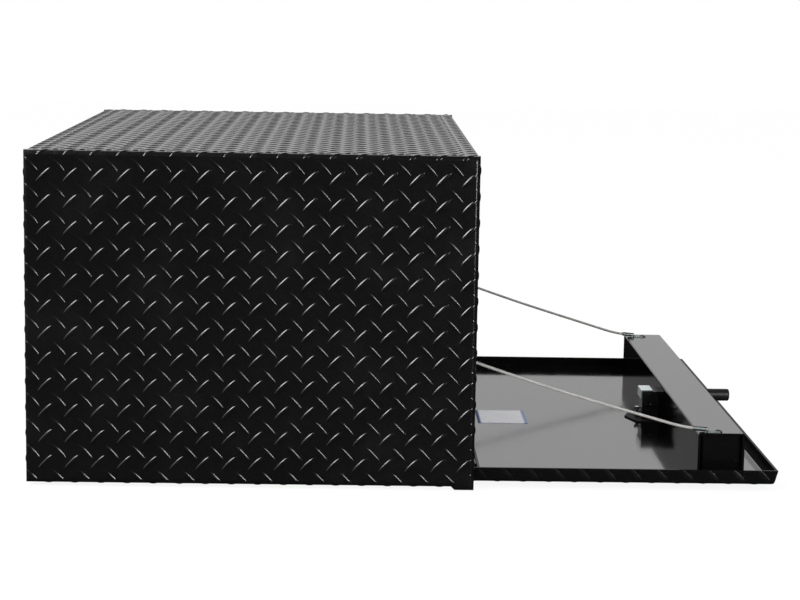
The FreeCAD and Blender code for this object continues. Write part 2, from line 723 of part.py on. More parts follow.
def build_door_pan():
    """The door's pan: a leaning flange at its free edge and three upright ones.

    Both side flanges run on past the hinge's flange, close to the box.
    """
    body = new_body("door_pan")
    outline = [(door_inner_edge, door_under), (door_base, door_under), (door_tip, door_rim),
               (door_inner_edge, door_rim)]
    pad(body, "XZ", -door_half, door_half, [outline])
    round_edges(body, dim.door_bend, lambda edge: all(
        abs(vertex.Z - door_under.value) < NEAR for vertex in edge.Vertexes))
    lean = dim.sheet / cosine(dim.edge_lean)
    slope = tangent(dim.edge_lean)
    base_inside = door_base - lean + dim.sheet * slope
    rise = dim.door_thickness - dim.sheet + 1
    inside = [
        (door_inner_edge + dim.sheet, door_inside), (base_inside, door_inside),
        (base_inside + rise * slope, door_inside + rise), (door_inner_edge + dim.sheet, door_inside + rise),
    ]
    pocket(body, "XZ", -door_half + dim.sheet, door_half - dim.sheet, [inside])
    ear = rectangle(front + dim.ear_gap, door_inner_edge + dim.sheet, door_under + 1, door_rim)
    pad(body, "XZ", -door_half, -door_half + dim.sheet, [ear])
    pad(body, "XZ", door_half - dim.sheet, door_half, [ear])
    round_edges(body, dim.door_bend - dim.sheet, lambda edge: all(
        abs(vertex.Z - door_inside.value) < NEAR for vertex in edge.Vertexes))
    holes = [(channel_middle, 0, dim.dish_radius + dim.dish_play)]
    holes += [(x, y, dim.rivet_radius + dim.hole_play) for x, y in dish_rivet_places()]
    holes += [(channel_wall - dim.stud_set_out, 0, dim.screw_radius + dim.hole_play)]
    pocket(body, "XY", door_under - 1, door_inside + 1, circles=holes)
    holes = [(y + door_rivet_shift, door_rivet_level, dim.rivet_radius + dim.hole_play)
             for y in hinge_rivet_places()]
    pocket(body, "YZ", door_inner_edge - 1, door_inner_edge + dim.sheet + 1, circles=holes)
    return body


def build_channel():
    """The stiffening channel across the door, open at the bottom."""
    path = [(channel_wall, door_inside), (channel_wall, channel_top),
            (channel_far_wall, channel_top), (channel_far_wall, door_inside)]
    body = folded_sheet("door_channel", "XZ", "y", path[::-1], channel_near_end, channel_far_end,
                        dim.channel_bend)
    bolt_hole = (0, bolt_axis, dim.tail_radius + dim.keeper_play)
    pocket(body, "YZ", channel_wall - 1, channel_wall + dim.sheet + 1, circles=[bolt_hole])
    bush_hole = (0, bolt_axis, dim.bush_radius + dim.hole_play)
    pocket(body, "YZ", channel_far_wall - dim.sheet - 1, channel_far_wall + 1, circles=[bush_hole])
    holes = [(door_lug_place(side)[0], door_lug_place(side)[1], dim.lug_screw_radius + dim.hole_play)
             for side in SIDES.values()]
    pocket(body, "XY", channel_top - dim.sheet - 1, channel_top + 1, circles=holes)
    return body


def build_channel_cap(name, side):
    """A pressed cap in an end of the channel."""
    low_x, high_x = channel_wall + dim.sheet, channel_far_wall - dim.sheet
    face = (channel_far_end if side > 0 else channel_near_end) - side * dim.cap_inset
    inner = face - side * dim.cap_flange
    path = [(low_x, inner), (low_x, face), (high_x, face), (high_x, inner)]
    path = path[::-1] if side > 0 else path
    return folded_sheet(f"channel_cap_{name}", "XY", "z", path, door_inside,
                        channel_top - dim.channel_bend, dim.cap_bend)


# The latch


def dish_rivet_places():
    """The dish's four rivets."""
    step = dim.dish_rivet_circle / math.sqrt(2)
    return [(channel_middle + step * x, step * y) for x in (-1, 1) for y in (-1, 1)]


def build_dish():
    """The round dish that the handle turns in, with its flange on the door's face."""
    body = new_body("latch_dish")
    centre = (channel_middle, 0)
    pad(body, "XY", door_under, door_under + dim.dish_depth, circles=[(*centre, dim.dish_radius)])
    top = door_under.value + dim.dish_depth.value
    round_edges(body, dim.dish_edge, lambda edge: abs(edge.BoundBox.ZMin - top) < NEAR)
    pad(body, "XY", door_under - dim.dish_flange, door_under, circles=[(*centre, dim.dish_flange_radius)])
    pocket(body, "XY", door_under - dim.dish_flange - 1, door_under + dim.dish_depth - dim.dish_wall,
           circles=[(*centre, dim.dish_radius - dim.dish_wall)])
    floor = top - dim.dish_wall.value
    round_edges(body, dim.dish_edge - dim.dish_wall, lambda edge: abs(edge.BoundBox.ZMin - floor) < NEAR
                and abs(edge.BoundBox.ZMax - floor) < NEAR)
    pocket(body, "XY", floor - 1, top + 1, circles=[(*centre, dim.shaft_radius + dim.shaft_play)])
    holes = [(x, y, dim.rivet_radius + dim.hole_play) for x, y in dish_rivet_places()]
    pocket(body, "XY", door_under - dim.dish_flange - 1, door_under + 1, circles=holes)
    return body


def build_handle():
    """The turning grip with its boss and shaft."""
    body = new_body("t_handle")
    low = door_under + dim.grip_recess
    half_length, half_grip = dim.grip_length / 2, dim.grip_width / 2
    grip = rectangle(channel_middle - half_length, channel_middle + half_length, -half_grip, half_grip)
    pad(body, "XY", low, low + dim.grip_height, [grip])
    round_edges(body, dim.grip_edge, lambda edge: along(edge, "z") or along(edge, "x"))
    centre = (channel_middle, 0)
    boss_top = door_under + dim.dish_depth - dim.dish_wall - dim.boss_gap
    pad(body, "XY", low, boss_top, circles=[(*centre, dim.boss_radius)])
    pad(body, "XY", boss_top - 1, cam_top, circles=[(*centre, dim.shaft_radius)])
    pocket(body, "XY", low - 1, low + dim.core_length, circles=[(*centre, dim.core_radius + dim.core_play)])
    pocket(body, "XY", cam_top - dim.screw_depth, cam_top + 1,
           circles=[(*centre, dim.screw_radius + dim.hole_play)])
    return body


def build_lock_core():
    """The lock's core in the middle of the handle."""
    body = new_body("lock_core")
    low = door_under + dim.grip_recess
    face = low - dim.core_stand
    pad(body, "XY", face, low + dim.core_length - dim.core_play * 4,
        circles=[(channel_middle, 0, dim.core_radius)])
    key = rectangle(channel_middle - dim.key_width / 2, channel_middle + dim.key_width / 2,
                    -dim.key_height / 2, dim.key_height / 2)
    pocket(body, "XY", face - 1, face + dim.key_depth, [key])
    return body


def build_cam():
    """The cam plate on the shaft, with the crank pin that draws the bolt."""
    body = new_body("latch_cam")
    centre = (channel_middle, 0)
    pad(body, "XY", cam_under, cam_top, circles=[(*centre, dim.cam_radius)])
    pin = (channel_middle - crank_throw, -crank_throw, dim.crank_pin_radius)
    pad(body, "XY", cam_top - 1, yoke_top - 0.5, circles=[pin])
    pocket(body, "XY", cam_under - 1, cam_top + 1, circles=[(*centre, dim.shaft_radius + dim.hole_play)])
    return body


def build_yoke():
    """The slotted plate under the bolt that the crank pin moves."""
    body = new_body("bolt_yoke")
    middle = channel_middle - crank_throw
    half_length, half = dim.yoke_length / 2, dim.yoke_width / 2
    plate = rectangle(middle - half_length, middle + half_length, -half - dim.yoke_shift,
                      half - dim.yoke_shift)
    pad(body, "XY", yoke_under, yoke_top, [plate])
    round_edges(body, dim.corner_radius, lambda edge: along(edge, "z"))
    slot_half = dim.crank_pin_radius + dim.slot_play
    slot = rectangle(middle - slot_half, middle + slot_half, -crank_radius - slot_half,
                     -crank_throw + slot_half)
    pocket(body, "XY", yoke_under - 1, yoke_top + 1, [slot])
    holes = [(x, y, dim.screw_radius + dim.hole_play) for x, y in yoke_screw_places()]
    pocket(body, "XY", yoke_under - 1, yoke_top + 1, circles=holes)
    return body


def yoke_screw_places():
    """The screws that hold the yoke to the bolt."""
    middle = channel_middle - crank_throw
    return [(middle - dim.yoke_length / 4, dim.bolt_radius / 4),
            (middle + dim.yoke_length / 4, dim.bolt_radius / 4)]


def build_bolt():
    """The round latch bolt with a thinner tail and a flat for its yoke."""
    body = new_body("latch_bolt")
    pad(body, "YZ", bolt_shoulder, bolt_tip, circles=[(0, bolt_axis, dim.bolt_radius)])
    pad(body, "YZ", bolt_rear, bolt_shoulder, circles=[(0, bolt_axis, dim.tail_radius)])
    round_edges(body, dim.bolt_nose, lambda edge: abs(edge.BoundBox.XMin - bolt_tip.value) < NEAR)
    middle = channel_middle - crank_throw
    half_length = dim.yoke_length / 2 + 0.5
    flat = rectangle(middle - half_length, middle + half_length, yoke_under, yoke_top)
    pocket(body, "XZ", -dim.bolt_radius - 1, dim.bolt_radius + 1, [flat])
    holes = [(x, y, dim.screw_radius + dim.hole_play) for x, y in yoke_screw_places()]
    pocket(body, "XY", yoke_top - 0.5, yoke_top + dim.screw_depth, circles=holes)
    return body


def build_guide_block():
    """The block that guides the bolt's tail on the channel's inner wall."""
    body = new_body("bolt_guide_block")
    half = dim.block_width / 2
    pad(body, "XY", block_low, block_top, [rectangle(block_face, channel_wall, -half, half)])
    round_edges(body, dim.corner_radius / 2, lambda edge: edge.BoundBox.XMax < channel_wall.value - NEAR
                and not along(edge, "y"))
    pocket(body, "YZ", block_face - 1, channel_wall + 1,
           circles=[(0, bolt_axis, dim.tail_radius + dim.bolt_play)])
    side_holes = [(x, z, dim.screw_radius + dim.hole_play) for x, z in block_screw_places()]
    pocket(body, "XZ", -half - 1, -half + dim.screw_depth, circles=side_holes)
    return body


def block_screw_places():
    """The two screws in the near side of the guide block."""
    level = block_low + dim.side_screw_rise
    first = block_face + dim.side_screw_inset
    return [(first, level), (first + dim.side_screw_pitch, level)]


def build_base_plate():
    """The pointed plate on the door beside the channel."""
    body = new_body("latch_base_plate")
    half = dim.plate_width / 2
    x_low, shoulder = channel_wall - dim.plate_length, channel_wall - dim.plate_length + dim.plate_point
    outline = [(x_low, 0), (shoulder, -half), (channel_wall, -half), (channel_wall, half), (shoulder, half)]
    low, high = door_inside, door_inside + dim.plate_thickness
    pad(body, "XY", low, high, [outline])
    hole = (channel_wall - dim.stud_set_out, 0, dim.screw_radius + dim.hole_play)
    pocket(body, "XY", low - 1, high + 1, circles=[hole])
    return body


def build_stud():
    """The base plate's stud with a nut on the plate and one at its end."""
    body = new_body("base_stud")
    x = channel_wall - dim.stud_set_out
    low = door_inside + dim.plate_thickness
    top = low + dim.stud_height
    pad(body, "XY", door_under, top, circles=[(x, 0, dim.screw_radius)])
    half, flat = dim.nut_radius / 2, dim.nut_radius * 3 ** 0.5 / 2
    nut = [(x - dim.nut_radius, 0), (x - half, -flat), (x + half, -flat),
           (x + dim.nut_radius, 0), (x + half, flat), (x - half, flat)]
    pad(body, "XY", low, low + dim.nut_height, [nut])
    pad(body, "XY", top - dim.nut_height, top, [nut])
    return body


def build_strap():
    """The zinc strap over the guide block."""
    body = new_body("latch_strap")
    top, face = block_top, block_face
    thick = dim.strap_thickness
    outline = [
        (face, top), (face, top - dim.strap_leg), (face - thick, top - dim.strap_leg),
        (face - thick, top + thick), (face - thick + dim.strap_reach, top + thick),
        (face - thick + dim.strap_reach, top),
    ]
    half = dim.strap_width / 2
    pad(body, "XZ", -half, half, [outline])
    round_edges(body, thick * 0.9, at_places("y", [(face - thick, top + thick)]))
    return body


def build_bush():
    """The flanged bush that guides the bolt through the channel's outer wall."""
    body = new_body("bolt_bush")
    inner = channel_far_wall - dim.bush_length
    outer = channel_far_wall + dim.bush_flange
    pad(body, "YZ", inner, channel_far_wall, circles=[(0, bolt_axis, dim.bush_radius)])
    pad(body, "YZ", channel_far_wall, outer, circles=[(0, bolt_axis, dim.bush_flange_radius)])
    pocket(body, "YZ", inner - 1, outer + 1, circles=[(0, bolt_axis, dim.bolt_radius + dim.bolt_play)])
    return body


def build_latch_fixings():
    """Rivets and screws of the latch."""
    dish_rivet = domed(dim.rivet_radius, dim.dish_flange + dim.sheet, dim.rivet_head_radius,
                       dim.rivet_head_height)
    level = door_under - dim.dish_flange
    group("dish_rivets", [placed(dish_rivet, vector(x, y, level), DOWN) for x, y in dish_rivet_places()])
    head = (dim.screw_head_radius, dim.screw_head_height)
    side_screw = domed(dim.screw_radius, dim.screw_depth - 1, *head)
    screws = [placed(side_screw, vector(x, -dim.block_width / 2, z), FreeCAD.Vector(0, -1, 0))
              for x, z in block_screw_places()]
    group("latch_screws", screws)
    cam_screw = domed(dim.screw_radius, dim.screw_depth - 1, dim.shaft_radius + 1, dim.screw_head_height)
    group("cam_screw", [placed(cam_screw, vector(channel_middle, 0, cam_top), UP)])
    pin = Part.makeCylinder(float(dim.screw_radius), float(dim.yoke_thickness + dim.screw_depth - 1))
    group("yoke_pins", [placed(pin, vector(x, y, yoke_under), UP) for x, y in yoke_screw_places()])


# The stay cables

# The cable's sag between its two end straights: the share of the way from the box
# to the door, the shift away from the middle and the shift in height.
CABLE_SAG = [(0.21, 0.6, -1.4), (0.42, 0.8, -2.0), (0.63, 0.9, -1.4), (0.84, 1.0, -0.5)]


def lug_axis(angle):
    """The direction from a lug's tongue along its barrel, for a barrel that rises to the back."""
    return FreeCAD.Vector(-math.cos(math.radians(angle.value)), 0, math.sin(math.radians(angle.value)))


def cable_points(side):
    """The route of the cable on one side of the door, from the box to the door."""
    start = vector(front - dim.box_lug_back, side * (lip_face - dim.lug_radius), dim.box_lug_height)
    rise = dim.lug_radius.value - dim.lug_barrel.value * lug_axis(dim.door_lug_tilt).z * -1
    end = vector(channel_wall - dim.door_lug_lead, side * (door_half - dim.door_lug_side_gap),
                 channel_top.value + rise)
    first = start - lug_axis(dim.box_lug_tilt) * dim.box_lead.value
    last = end + lug_axis(dim.door_lug_tilt) * dim.door_lead.value
    between = [first + (last - first) * share + FreeCAD.Vector(0, side * outward, upward)
               for share, outward, upward in CABLE_SAG]
    return [start, first, *between, last, end]


def box_lug_place(side):
    """The screw of a cable's lug on the jamb's lip."""
    end = cable_points(side)[0]
    slope = math.radians(dim.box_lug_tilt.value)
    reach = dim.lug_barrel.value + dim.lug_tongue.value - dim.lug_hole.value
    return (end.x - reach * math.cos(slope), side * lip_face.value, end.z + reach * math.sin(slope))


def door_lug_place(side):
    """The screw of a cable's lug on the channel's top."""
    end = cable_points(side)[-1]
    tilt = math.radians(dim.door_lug_tilt.value)
    reach = dim.lug_barrel.value * math.cos(tilt) + dim.lug_tongue.value - dim.lug_hole.value
    return (end.x + reach, end.y, channel_top.value)


def make_lug(tilt):
    """A cable lug: its barrel ends at the origin's left and its tongue lies along X."""
    radius, barrel = dim.lug_radius.value, dim.lug_barrel.value
    tongue, width, thick = dim.lug_tongue.value, dim.lug_width.value, dim.lug_thickness.value
    neck = radius * 1.2
    lean = math.radians(tilt)
    axis = FreeCAD.Vector(-math.cos(lean), 0, math.sin(lean))
    body = Part.makeCylinder(radius, barrel, FreeCAD.Vector(0, 0, radius), axis)
    flat = Part.makeBox(tongue - width / 2, width, thick, FreeCAD.Vector(0, -width / 2, 0))
    nose = Part.makeCylinder(width / 2, thick, FreeCAD.Vector(tongue - width / 2, 0, 0))
    corners = [FreeCAD.Vector(-neck, 0, 0), FreeCAD.Vector(neck, 0, 0), FreeCAD.Vector(neck, 0, thick),
               FreeCAD.Vector(-neck, 0, radius * 1.8)]
    wedge = Part.Face(Part.makePolygon(corners + corners[:1])).extrude(FreeCAD.Vector(0, radius * 1.6, 0))
    wedge.translate(FreeCAD.Vector(0, -radius * 0.8, 0))
    base_corner = FreeCAD.Vector(-2 * barrel, -2 * radius, -4 * radius)
    base = Part.makeBox(4 * barrel, 4 * radius, 4 * radius, base_corner)
    hole = Part.makeCylinder(dim.lug_screw_radius.value + dim.hole_play.value, thick + 2,
                             FreeCAD.Vector(tongue - dim.lug_hole.value, 0, -1))
    return body.fuse([flat, nose, wedge]).cut([base, hole]).removeSplitter()


def build_lugs():
    """The lugs at both ends of both cables, and their screws."""
    box_lugs, door_lugs, box_screws, door_screws = [], [], [], []
    screw = domed(dim.lug_screw_radius, dim.lug_thickness + dim.sheet, dim.lug_head_radius,
                  dim.lug_head_height)
    slope, tilt = dim.box_lug_tilt.value, dim.door_lug_tilt.value
    for side in SIDES.values():
        start, end = cable_points(side)[0], cable_points(side)[-1]
        lug = make_lug(tilt)
        root = end.x + dim.lug_barrel.value * math.cos(math.radians(tilt))
        lug.translate(FreeCAD.Vector(root, end.y, channel_top.value))
        door_lugs.append(lug)
        place = FreeCAD.Vector(*door_lug_place(side)) + FreeCAD.Vector(0, 0, dim.lug_thickness.value)
        door_screws.append(placed(screw, place, UP))
        lug = make_lug(0)
        along_lug = FreeCAD.Vector(-math.cos(math.radians(slope)), 0, math.sin(math.radians(slope)))
        away = FreeCAD.Vector(0, -side, 0)
        turn = FreeCAD.Rotation(along_lug, away.cross(along_lug), away, "XZY")
        root = start + along_lug * dim.lug_barrel.value
        root.y = side * lip_face.value
        lug.Placement = FreeCAD.Placement(root, turn)
        box_lugs.append(lug)
        place = FreeCAD.Vector(*box_lug_place(side)) + away * dim.lug_thickness.value
        box_screws.append(placed(screw, place, away))
    group("cable_lugs_box", box_lugs)
    group("cable_lugs_door", door_lugs)
    group("cable_screws_box", box_screws)
    group("cable_screws_door", door_screws)


def build_cable(name, side):
    """A stay cable: straight runs joined by tangent arcs."""
    points = cable_points(side)
    radius = dim.cable_radius.value
    edges, here, radii = [], points[0], []
    for before, corner, after in zip(points, points[1:], points[2:]):
        shorter = min((corner - before).Length, (after - corner).Length)
        arriving, leaving = (corner - before).normalize(), (after - corner).normalize()
        half_turn = arriving.getAngle(leaving) / 2
        reach = 0.45 * shorter
        radii.append(reach / math.tan(half_turn))
        start, end = corner - arriving * reach, corner + leaving * reach
        inward = (leaving - arriving).normalize()
        middle = corner + inward * (radii[-1] / math.cos(half_turn) - radii[-1])
        edges += [Part.LineSegment(here, start).toShape(), Part.Arc(start, middle, end).toShape()]
        here = end
    edges.append(Part.LineSegment(here, points[-1]).toShape())
    path = Part.Wire(edges)
    section = Part.Wire(Part.makeCircle(radius, points[0], points[1] - points[0]))
    tube = path.makePipeShell([section], True, False)
    feature = group(f"cable_{name}", [tube])
    expected = math.pi * radius ** 2 * path.Length
    print(f"cable_{name} length {path.Length:.1f} radii", " ".join(f"{value:.0f}" for value in radii),
          f"volume ratio {tube.Volume / expected:.4f}")
    return feature


# Assembly

for name, side in SIDES.items():
    build_end_panel(name, side)
    build_jamb(name, side)
    build_channel_cap(name, side)
    build_cable(name, side)

wrap_back = -half_depth + dim.wrap_flange
build_plate("top_panel", wrap_back, front - dim.wrap_flange, dim.box_height - dim.sheet, dim.box_height)
build_plate("floor_panel", wrap_back, stop_back, 0, dim.sheet)
build_back_panel()
build_header()
build_sill()
build_seal()
build_keeper()
build_keeper_fixings()
build_hinge()
build_door_pan()
build_channel()
build_dish()
build_handle()
build_lock_core()
build_cam()
build_yoke()
build_bolt()
build_base_plate()
build_stud()
build_guide_block()
build_strap()
build_bush()
build_latch_fixings()
build_lugs()

doc.recompute()

# Checks and export

sub_parts = [item for item in doc.Objects
             if item.TypeId == "PartDesign::Body" or (item.TypeId in ("Part::Feature", "Part::Cylinder"))]
for item in doc.Objects:
    if "Invalid" in item.State or "Error" in item.State:
        raise RuntimeError(f"{item.Label} did not rebuild")
for item in sub_parts:
    if item.Shape.isNull() or not item.Shape.isValid():
        raise RuntimeError(f"{item.Label} has no valid shape")
for item in sub_parts:
    item.Shape.exportStep(f"parts/{item.Label}.step")
print(len(sub_parts), "sub-parts")
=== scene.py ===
"""Underbody truck tool box: tread plate body, drop-down door, latch and stay cables.

Metres, in the frame of the solid model: +Z up, +X out of the doorway, Y along the width.
"""

import math

import bmesh
import bpy
from mathutils import Matrix, Vector


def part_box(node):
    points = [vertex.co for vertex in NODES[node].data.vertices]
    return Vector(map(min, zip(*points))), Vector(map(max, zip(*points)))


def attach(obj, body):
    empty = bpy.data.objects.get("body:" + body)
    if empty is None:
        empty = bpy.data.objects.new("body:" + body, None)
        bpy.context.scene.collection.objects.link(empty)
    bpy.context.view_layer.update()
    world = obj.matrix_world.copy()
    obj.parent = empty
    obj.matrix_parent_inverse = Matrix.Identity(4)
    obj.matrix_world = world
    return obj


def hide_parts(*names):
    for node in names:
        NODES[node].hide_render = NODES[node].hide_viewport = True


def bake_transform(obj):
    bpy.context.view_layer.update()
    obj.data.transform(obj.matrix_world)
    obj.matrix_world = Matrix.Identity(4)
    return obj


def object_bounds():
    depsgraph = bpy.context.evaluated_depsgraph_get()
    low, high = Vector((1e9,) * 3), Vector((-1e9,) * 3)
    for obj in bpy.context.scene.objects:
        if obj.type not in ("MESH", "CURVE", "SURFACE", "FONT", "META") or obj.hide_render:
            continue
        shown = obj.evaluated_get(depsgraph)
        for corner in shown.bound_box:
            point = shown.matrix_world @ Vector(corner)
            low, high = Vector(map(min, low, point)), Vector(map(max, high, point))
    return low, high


bl_info = {
    "name": "Underbody Tool Box",
    "version": (1, 0, 0),
    "blender": (4, 5, 0),
    "location": "View3D > Sidebar > Tool Box",
    "description": "Dresses a tread plate truck tool box with its pattern, finishes and stage",
    "category": "Add Mesh",
}

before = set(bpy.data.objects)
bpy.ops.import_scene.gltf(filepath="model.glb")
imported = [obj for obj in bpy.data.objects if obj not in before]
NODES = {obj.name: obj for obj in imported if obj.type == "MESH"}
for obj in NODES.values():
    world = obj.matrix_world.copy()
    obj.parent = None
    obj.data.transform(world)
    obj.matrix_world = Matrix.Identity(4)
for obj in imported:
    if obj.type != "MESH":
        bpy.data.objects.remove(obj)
SOLID_BOX = [list(corner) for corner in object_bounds()]

MM = 0.001

# The camera that the photograph was taken with

IMAGE_WIDTH, IMAGE_HEIGHT = 800, 600
CAMERA_PLACE = (140.6 * MM, -3258.3 * MM, 676.5 * MM)
CAMERA_YAW, CAMERA_PITCH, CAMERA_ROLL = 0.0211, 0.1484, 0.0169
FOCAL_PIXELS = 2105.0

# The stay cables' route on the far side: out from the middle, sideways and up

CABLE_ROUTE = [
    (0.2778, 0.4210, 0.1767), (0.3298, 0.4210, 0.1588), (0.3860, 0.4170, 0.1400),
    (0.4422, 0.4126, 0.1220), (0.4983, 0.4082, 0.1053), (0.5545, 0.4037, 0.0888),
    (0.5973, 0.3992, 0.0761), (0.6113, 0.3992, 0.0748),
]

# Names of like nodes

TREAD_NODES = ["end_panel_near", "end_panel_far", "top_panel", "back_panel", "floor_panel", "header"]
FOLDED_NODES = ["jamb_near", "jamb_far", "sill"]
DOOR_NODES = ["door_pan", "channel_cap_near", "channel_cap_far", "door_channel"]
HINGE_NODES = ["hinge_leaf_box", "hinge_leaf_door", "hinge_rivets_box", "hinge_rivets_door"]
BLACK_NODES = [
    "latch_dish", "t_handle", "latch_bolt", "bolt_guide_block", "latch_screws",
    "cable_screws_box", "cable_screws_door", "dish_rivets",
]
ZINC_NODES = [
    "latch_strap", "bolt_keeper", "keeper_sleeves", "keeper_rivets", "latch_cam", "bolt_yoke",
    "yoke_pins", "bolt_bush", "cam_screw", "base_stud", "hinge_pin",
]


class Value:
    """A socket's value in a formula; each operator adds the node that works it out."""

    def __init__(self, finish, socket):
        self.finish = finish
        self.socket = socket

    def maths(self, operation, *others):
        return self.finish.node("ShaderNodeMath", {"operation": operation}, [self, *others])

    def __add__(self, other):
        return self.maths("ADD", other)

    __radd__ = __add__

    def __mul__(self, other):
        return self.maths("MULTIPLY", other)

    __rmul__ = __mul__

    def __sub__(self, other):
        return self.maths("SUBTRACT", other)

    def __rsub__(self, other):
        return self * -1 + other

    def __pow__(self, other):
        return self.maths("POWER", other)

    def smooth_step(self, low, high):
        """From 0 at low to 1 at high, with soft ends."""
        settings = {"interpolation_type": "SMOOTHSTEP"}
        return self.finish.node("ShaderNodeMapRange", settings, [self, low, high, 0.0, 1.0])


class Finish:
    """A material or a world that is being put together."""

    def __init__(self, owner):
        owner.use_nodes = True
        self.tree = owner.node_tree
        self.tree.nodes.clear()

    def node(self, kind, settings=None, values=(), output=0):
        """Add a node; values are numbers, colours, sockets or None, by place or by name."""
        made = self.tree.nodes.new(kind)
        for name, setting in (settings or {}).items():
            setattr(made, name, setting)
        pairs = values.items() if isinstance(values, dict) else enumerate(values)
        for key, value in pairs:
            if isinstance(value, Value):
                self.tree.links.new(value.socket, made.inputs[key])
            elif value is not None:
                made.inputs[key].default_value = value
        return Value(self, made.outputs[output]) if made.outputs else made

    def place(self):
        """The point on the object, in metres."""
        return self.node("ShaderNodeTexCoord", output=3)

    def noise(self, size, detail=2.0, stretch=(1.0, 1.0, 1.0)):
        """Cloudy values whose grains have about the given size in metres."""
        spread = self.node("ShaderNodeMapping", values={"Vector": self.place(), "Scale": stretch})
        values = {"Vector": spread, "Scale": 1.0 / size, "Detail": detail}
        return self.node("ShaderNodeTexNoise", values=values)

    def mix_colours(self, factor, first, second):
        """A blend of two colours."""
        values = {"Factor": factor, 6: first, 7: second}
        return self.node("ShaderNodeMix", {"data_type": "RGBA"}, values, output=2)

    def bump(self, height, distance, strength=1.0, normal=None):
        """Relief whose height of 1 stands out by the distance in metres."""
        values = {"Strength": strength, "Distance": distance, "Height": height, "Normal": normal}
        return self.node("ShaderNodeBump", values=values)

    def surface(self, dull=None, **inputs):
        """The closing shader, with a share of flat black where a mask is given: painted shade that dims the
        coat's highlights and reflections there.
        """
        values = {name.replace("_", " "): value for name, value in inputs.items()}
        shader = self.node("ShaderNodeBsdfPrincipled", values=values)
        if dull is not None:
            # Painted shade: a flat near-black mixed over the shader to dim its gloss
            flat = self.node("ShaderNodeBsdfDiffuse", values={"Color": grey(0.004)})
            shader = self.node("ShaderNodeMixShader", values=[dull, shader, flat])
        self.node("ShaderNodeOutputMaterial", values={"Surface": shader})


def grey(level):
    """A neutral colour."""
    return (level, level, level, 1.0)


def new_material(name):
    """A material and the finish that fills it."""
    material = bpy.data.materials.new(name)
    return material, Finish(material)


def tread_coat(colour, gloss_roughness):
    """Gloss black coat over rolled tread plate: fine orange peel and a little dust."""
    material, finish = new_material("black_coat_on_tread_plate")
    dust = finish.noise(0.09, 4.0).smooth_step(0.45, 0.75)
    peel = finish.noise(0.0016, 2.0)
    swell = finish.noise(0.03, 1.0)
    relief = finish.bump(peel, 0.00003, 0.6, finish.bump(swell, 0.0002, 0.5))
    dusty = tuple(channel * 1.2 + 0.001 for channel in colour[:3]) + (1.0,)
    finish.surface(
        Base_Color=finish.mix_colours(dust, colour, dusty),
        Roughness=finish.noise(0.012, 3.0) * 0.12 + (gloss_roughness - 0.06) + dust * 0.04,
        Specular_IOR_Level=0.9,
        Normal=relief,
    )
    return material


def smooth_coat(colour, gloss_roughness, painted_shade_band=None):
    """The same coat on flat sheet, nearly a mirror, with the sheet's slow waves.

    A painted shade band is a lower level, an upper level and how much flat black is mixed in between them,
    painted shade that dims the coat's highlights and reflections there.
    """
    material, finish = new_material("black_coat_on_flat_sheet")
    wipe = finish.noise(0.02, 3.0, (1.0, 0.15, 1.0))
    waves = finish.noise(0.16, 1.0)
    peel = finish.noise(0.004, 1.0)
    relief = finish.bump(peel, 0.00001, 0.5, finish.bump(waves, 0.0004, 0.5))
    lint = finish.noise(0.006, 2.0).smooth_step(0.68, 0.8)
    dull = None
    if painted_shade_band:
        low, high, share = painted_shade_band
        split = finish.node("ShaderNodeSeparateXYZ", values=[finish.place()])
        level = Value(finish, split.socket.node.outputs[2])
        above = level.smooth_step(low - 0.4 * MM, low)
        below = 1 - level.smooth_step(high, high + 0.8 * MM)
        # Painted shade: how much flat black is mixed over the coat between the two levels
        dull = above * below * share
    finish.surface(
        dull,
        Base_Color=finish.mix_colours(lint * 0.15, colour, grey(0.12)),
        Roughness=wipe * 0.08 + (gloss_roughness - 0.04),
        Normal=relief,
    )
    return material


def satin_hardware(colour):
    """Black coat on cast and turned hardware, rubbed brighter in patches."""
    material, finish = new_material("black_hardware")
    rub = finish.noise(0.004, 4.0).smooth_step(0.55, 0.8)
    finish.surface(
        Base_Color=finish.mix_colours(rub * 0.5, colour, grey(0.06)),
        Roughness=finish.noise(0.003, 2.0) * 0.2 + 0.25,
        Normal=finish.bump(finish.noise(0.0009, 3.0), 0.00004, 0.5),
    )
    return material


def worn_plate(colour):
    """Matt black base plate, dusty where the bolt's grease has caught dirt."""
    material, finish = new_material("matt_base_plate")
    dirt = finish.noise(0.008, 4.0).smooth_step(0.5, 0.75)
    finish.surface(
        Base_Color=finish.mix_colours(dirt * 0.4, colour, grey(0.03)),
        Roughness=finish.noise(0.004, 2.0) * 0.2 + 0.55,
        Specular_IOR_Level=0.25,
        Normal=finish.bump(finish.noise(0.0009, 3.0), 0.00004, 0.5),
    )
    return material


def zinc_plate(name, colour, gloss_roughness=0.2):
    """Zinc with a cloudy blue cast and fine rolling lines."""
    material, finish = new_material(name)
    cloud = finish.noise(0.007, 3.0).smooth_step(0.3, 0.7)
    lines = finish.noise(0.0006, 2.0, (1.0, 0.08, 1.0))
    warm = (colour[0] * 0.85, colour[1] * 0.82, colour[2] * 0.72, 1.0)
    finish.surface(
        Base_Color=finish.mix_colours(cloud, warm, colour),
        Metallic=1.0,
        Roughness=lines * 0.15 + cloud * 0.1 + gloss_roughness,
        Normal=finish.bump(lines, 0.00002, 0.5),
    )
    return material


def polished_chrome():
    """Chrome on the lock core, with faint turning marks."""
    material, finish = new_material("lock_chrome")
    marks = finish.noise(0.0008, 3.0)
    finish.surface(
        Base_Color=finish.mix_colours(marks, grey(0.75), grey(0.85)),
        Metallic=1.0,
        Roughness=marks * 0.12 + 0.06,
    )
    return material


def seal_rubber():
    """Matt black rubber with a skin of fine grain and pale bloom."""
    material, finish = new_material("seal_rubber")
    bloom = finish.noise(0.02, 4.0).smooth_step(0.4, 0.8)
    finish.surface(
        Base_Color=finish.mix_colours(bloom * 0.4, grey(0.012), grey(0.04)),
        Roughness=finish.noise(0.002, 2.0) * 0.2 + 0.55,
        Normal=finish.bump(finish.noise(0.0007, 3.0), 0.00005, 0.7),
    )
    return material


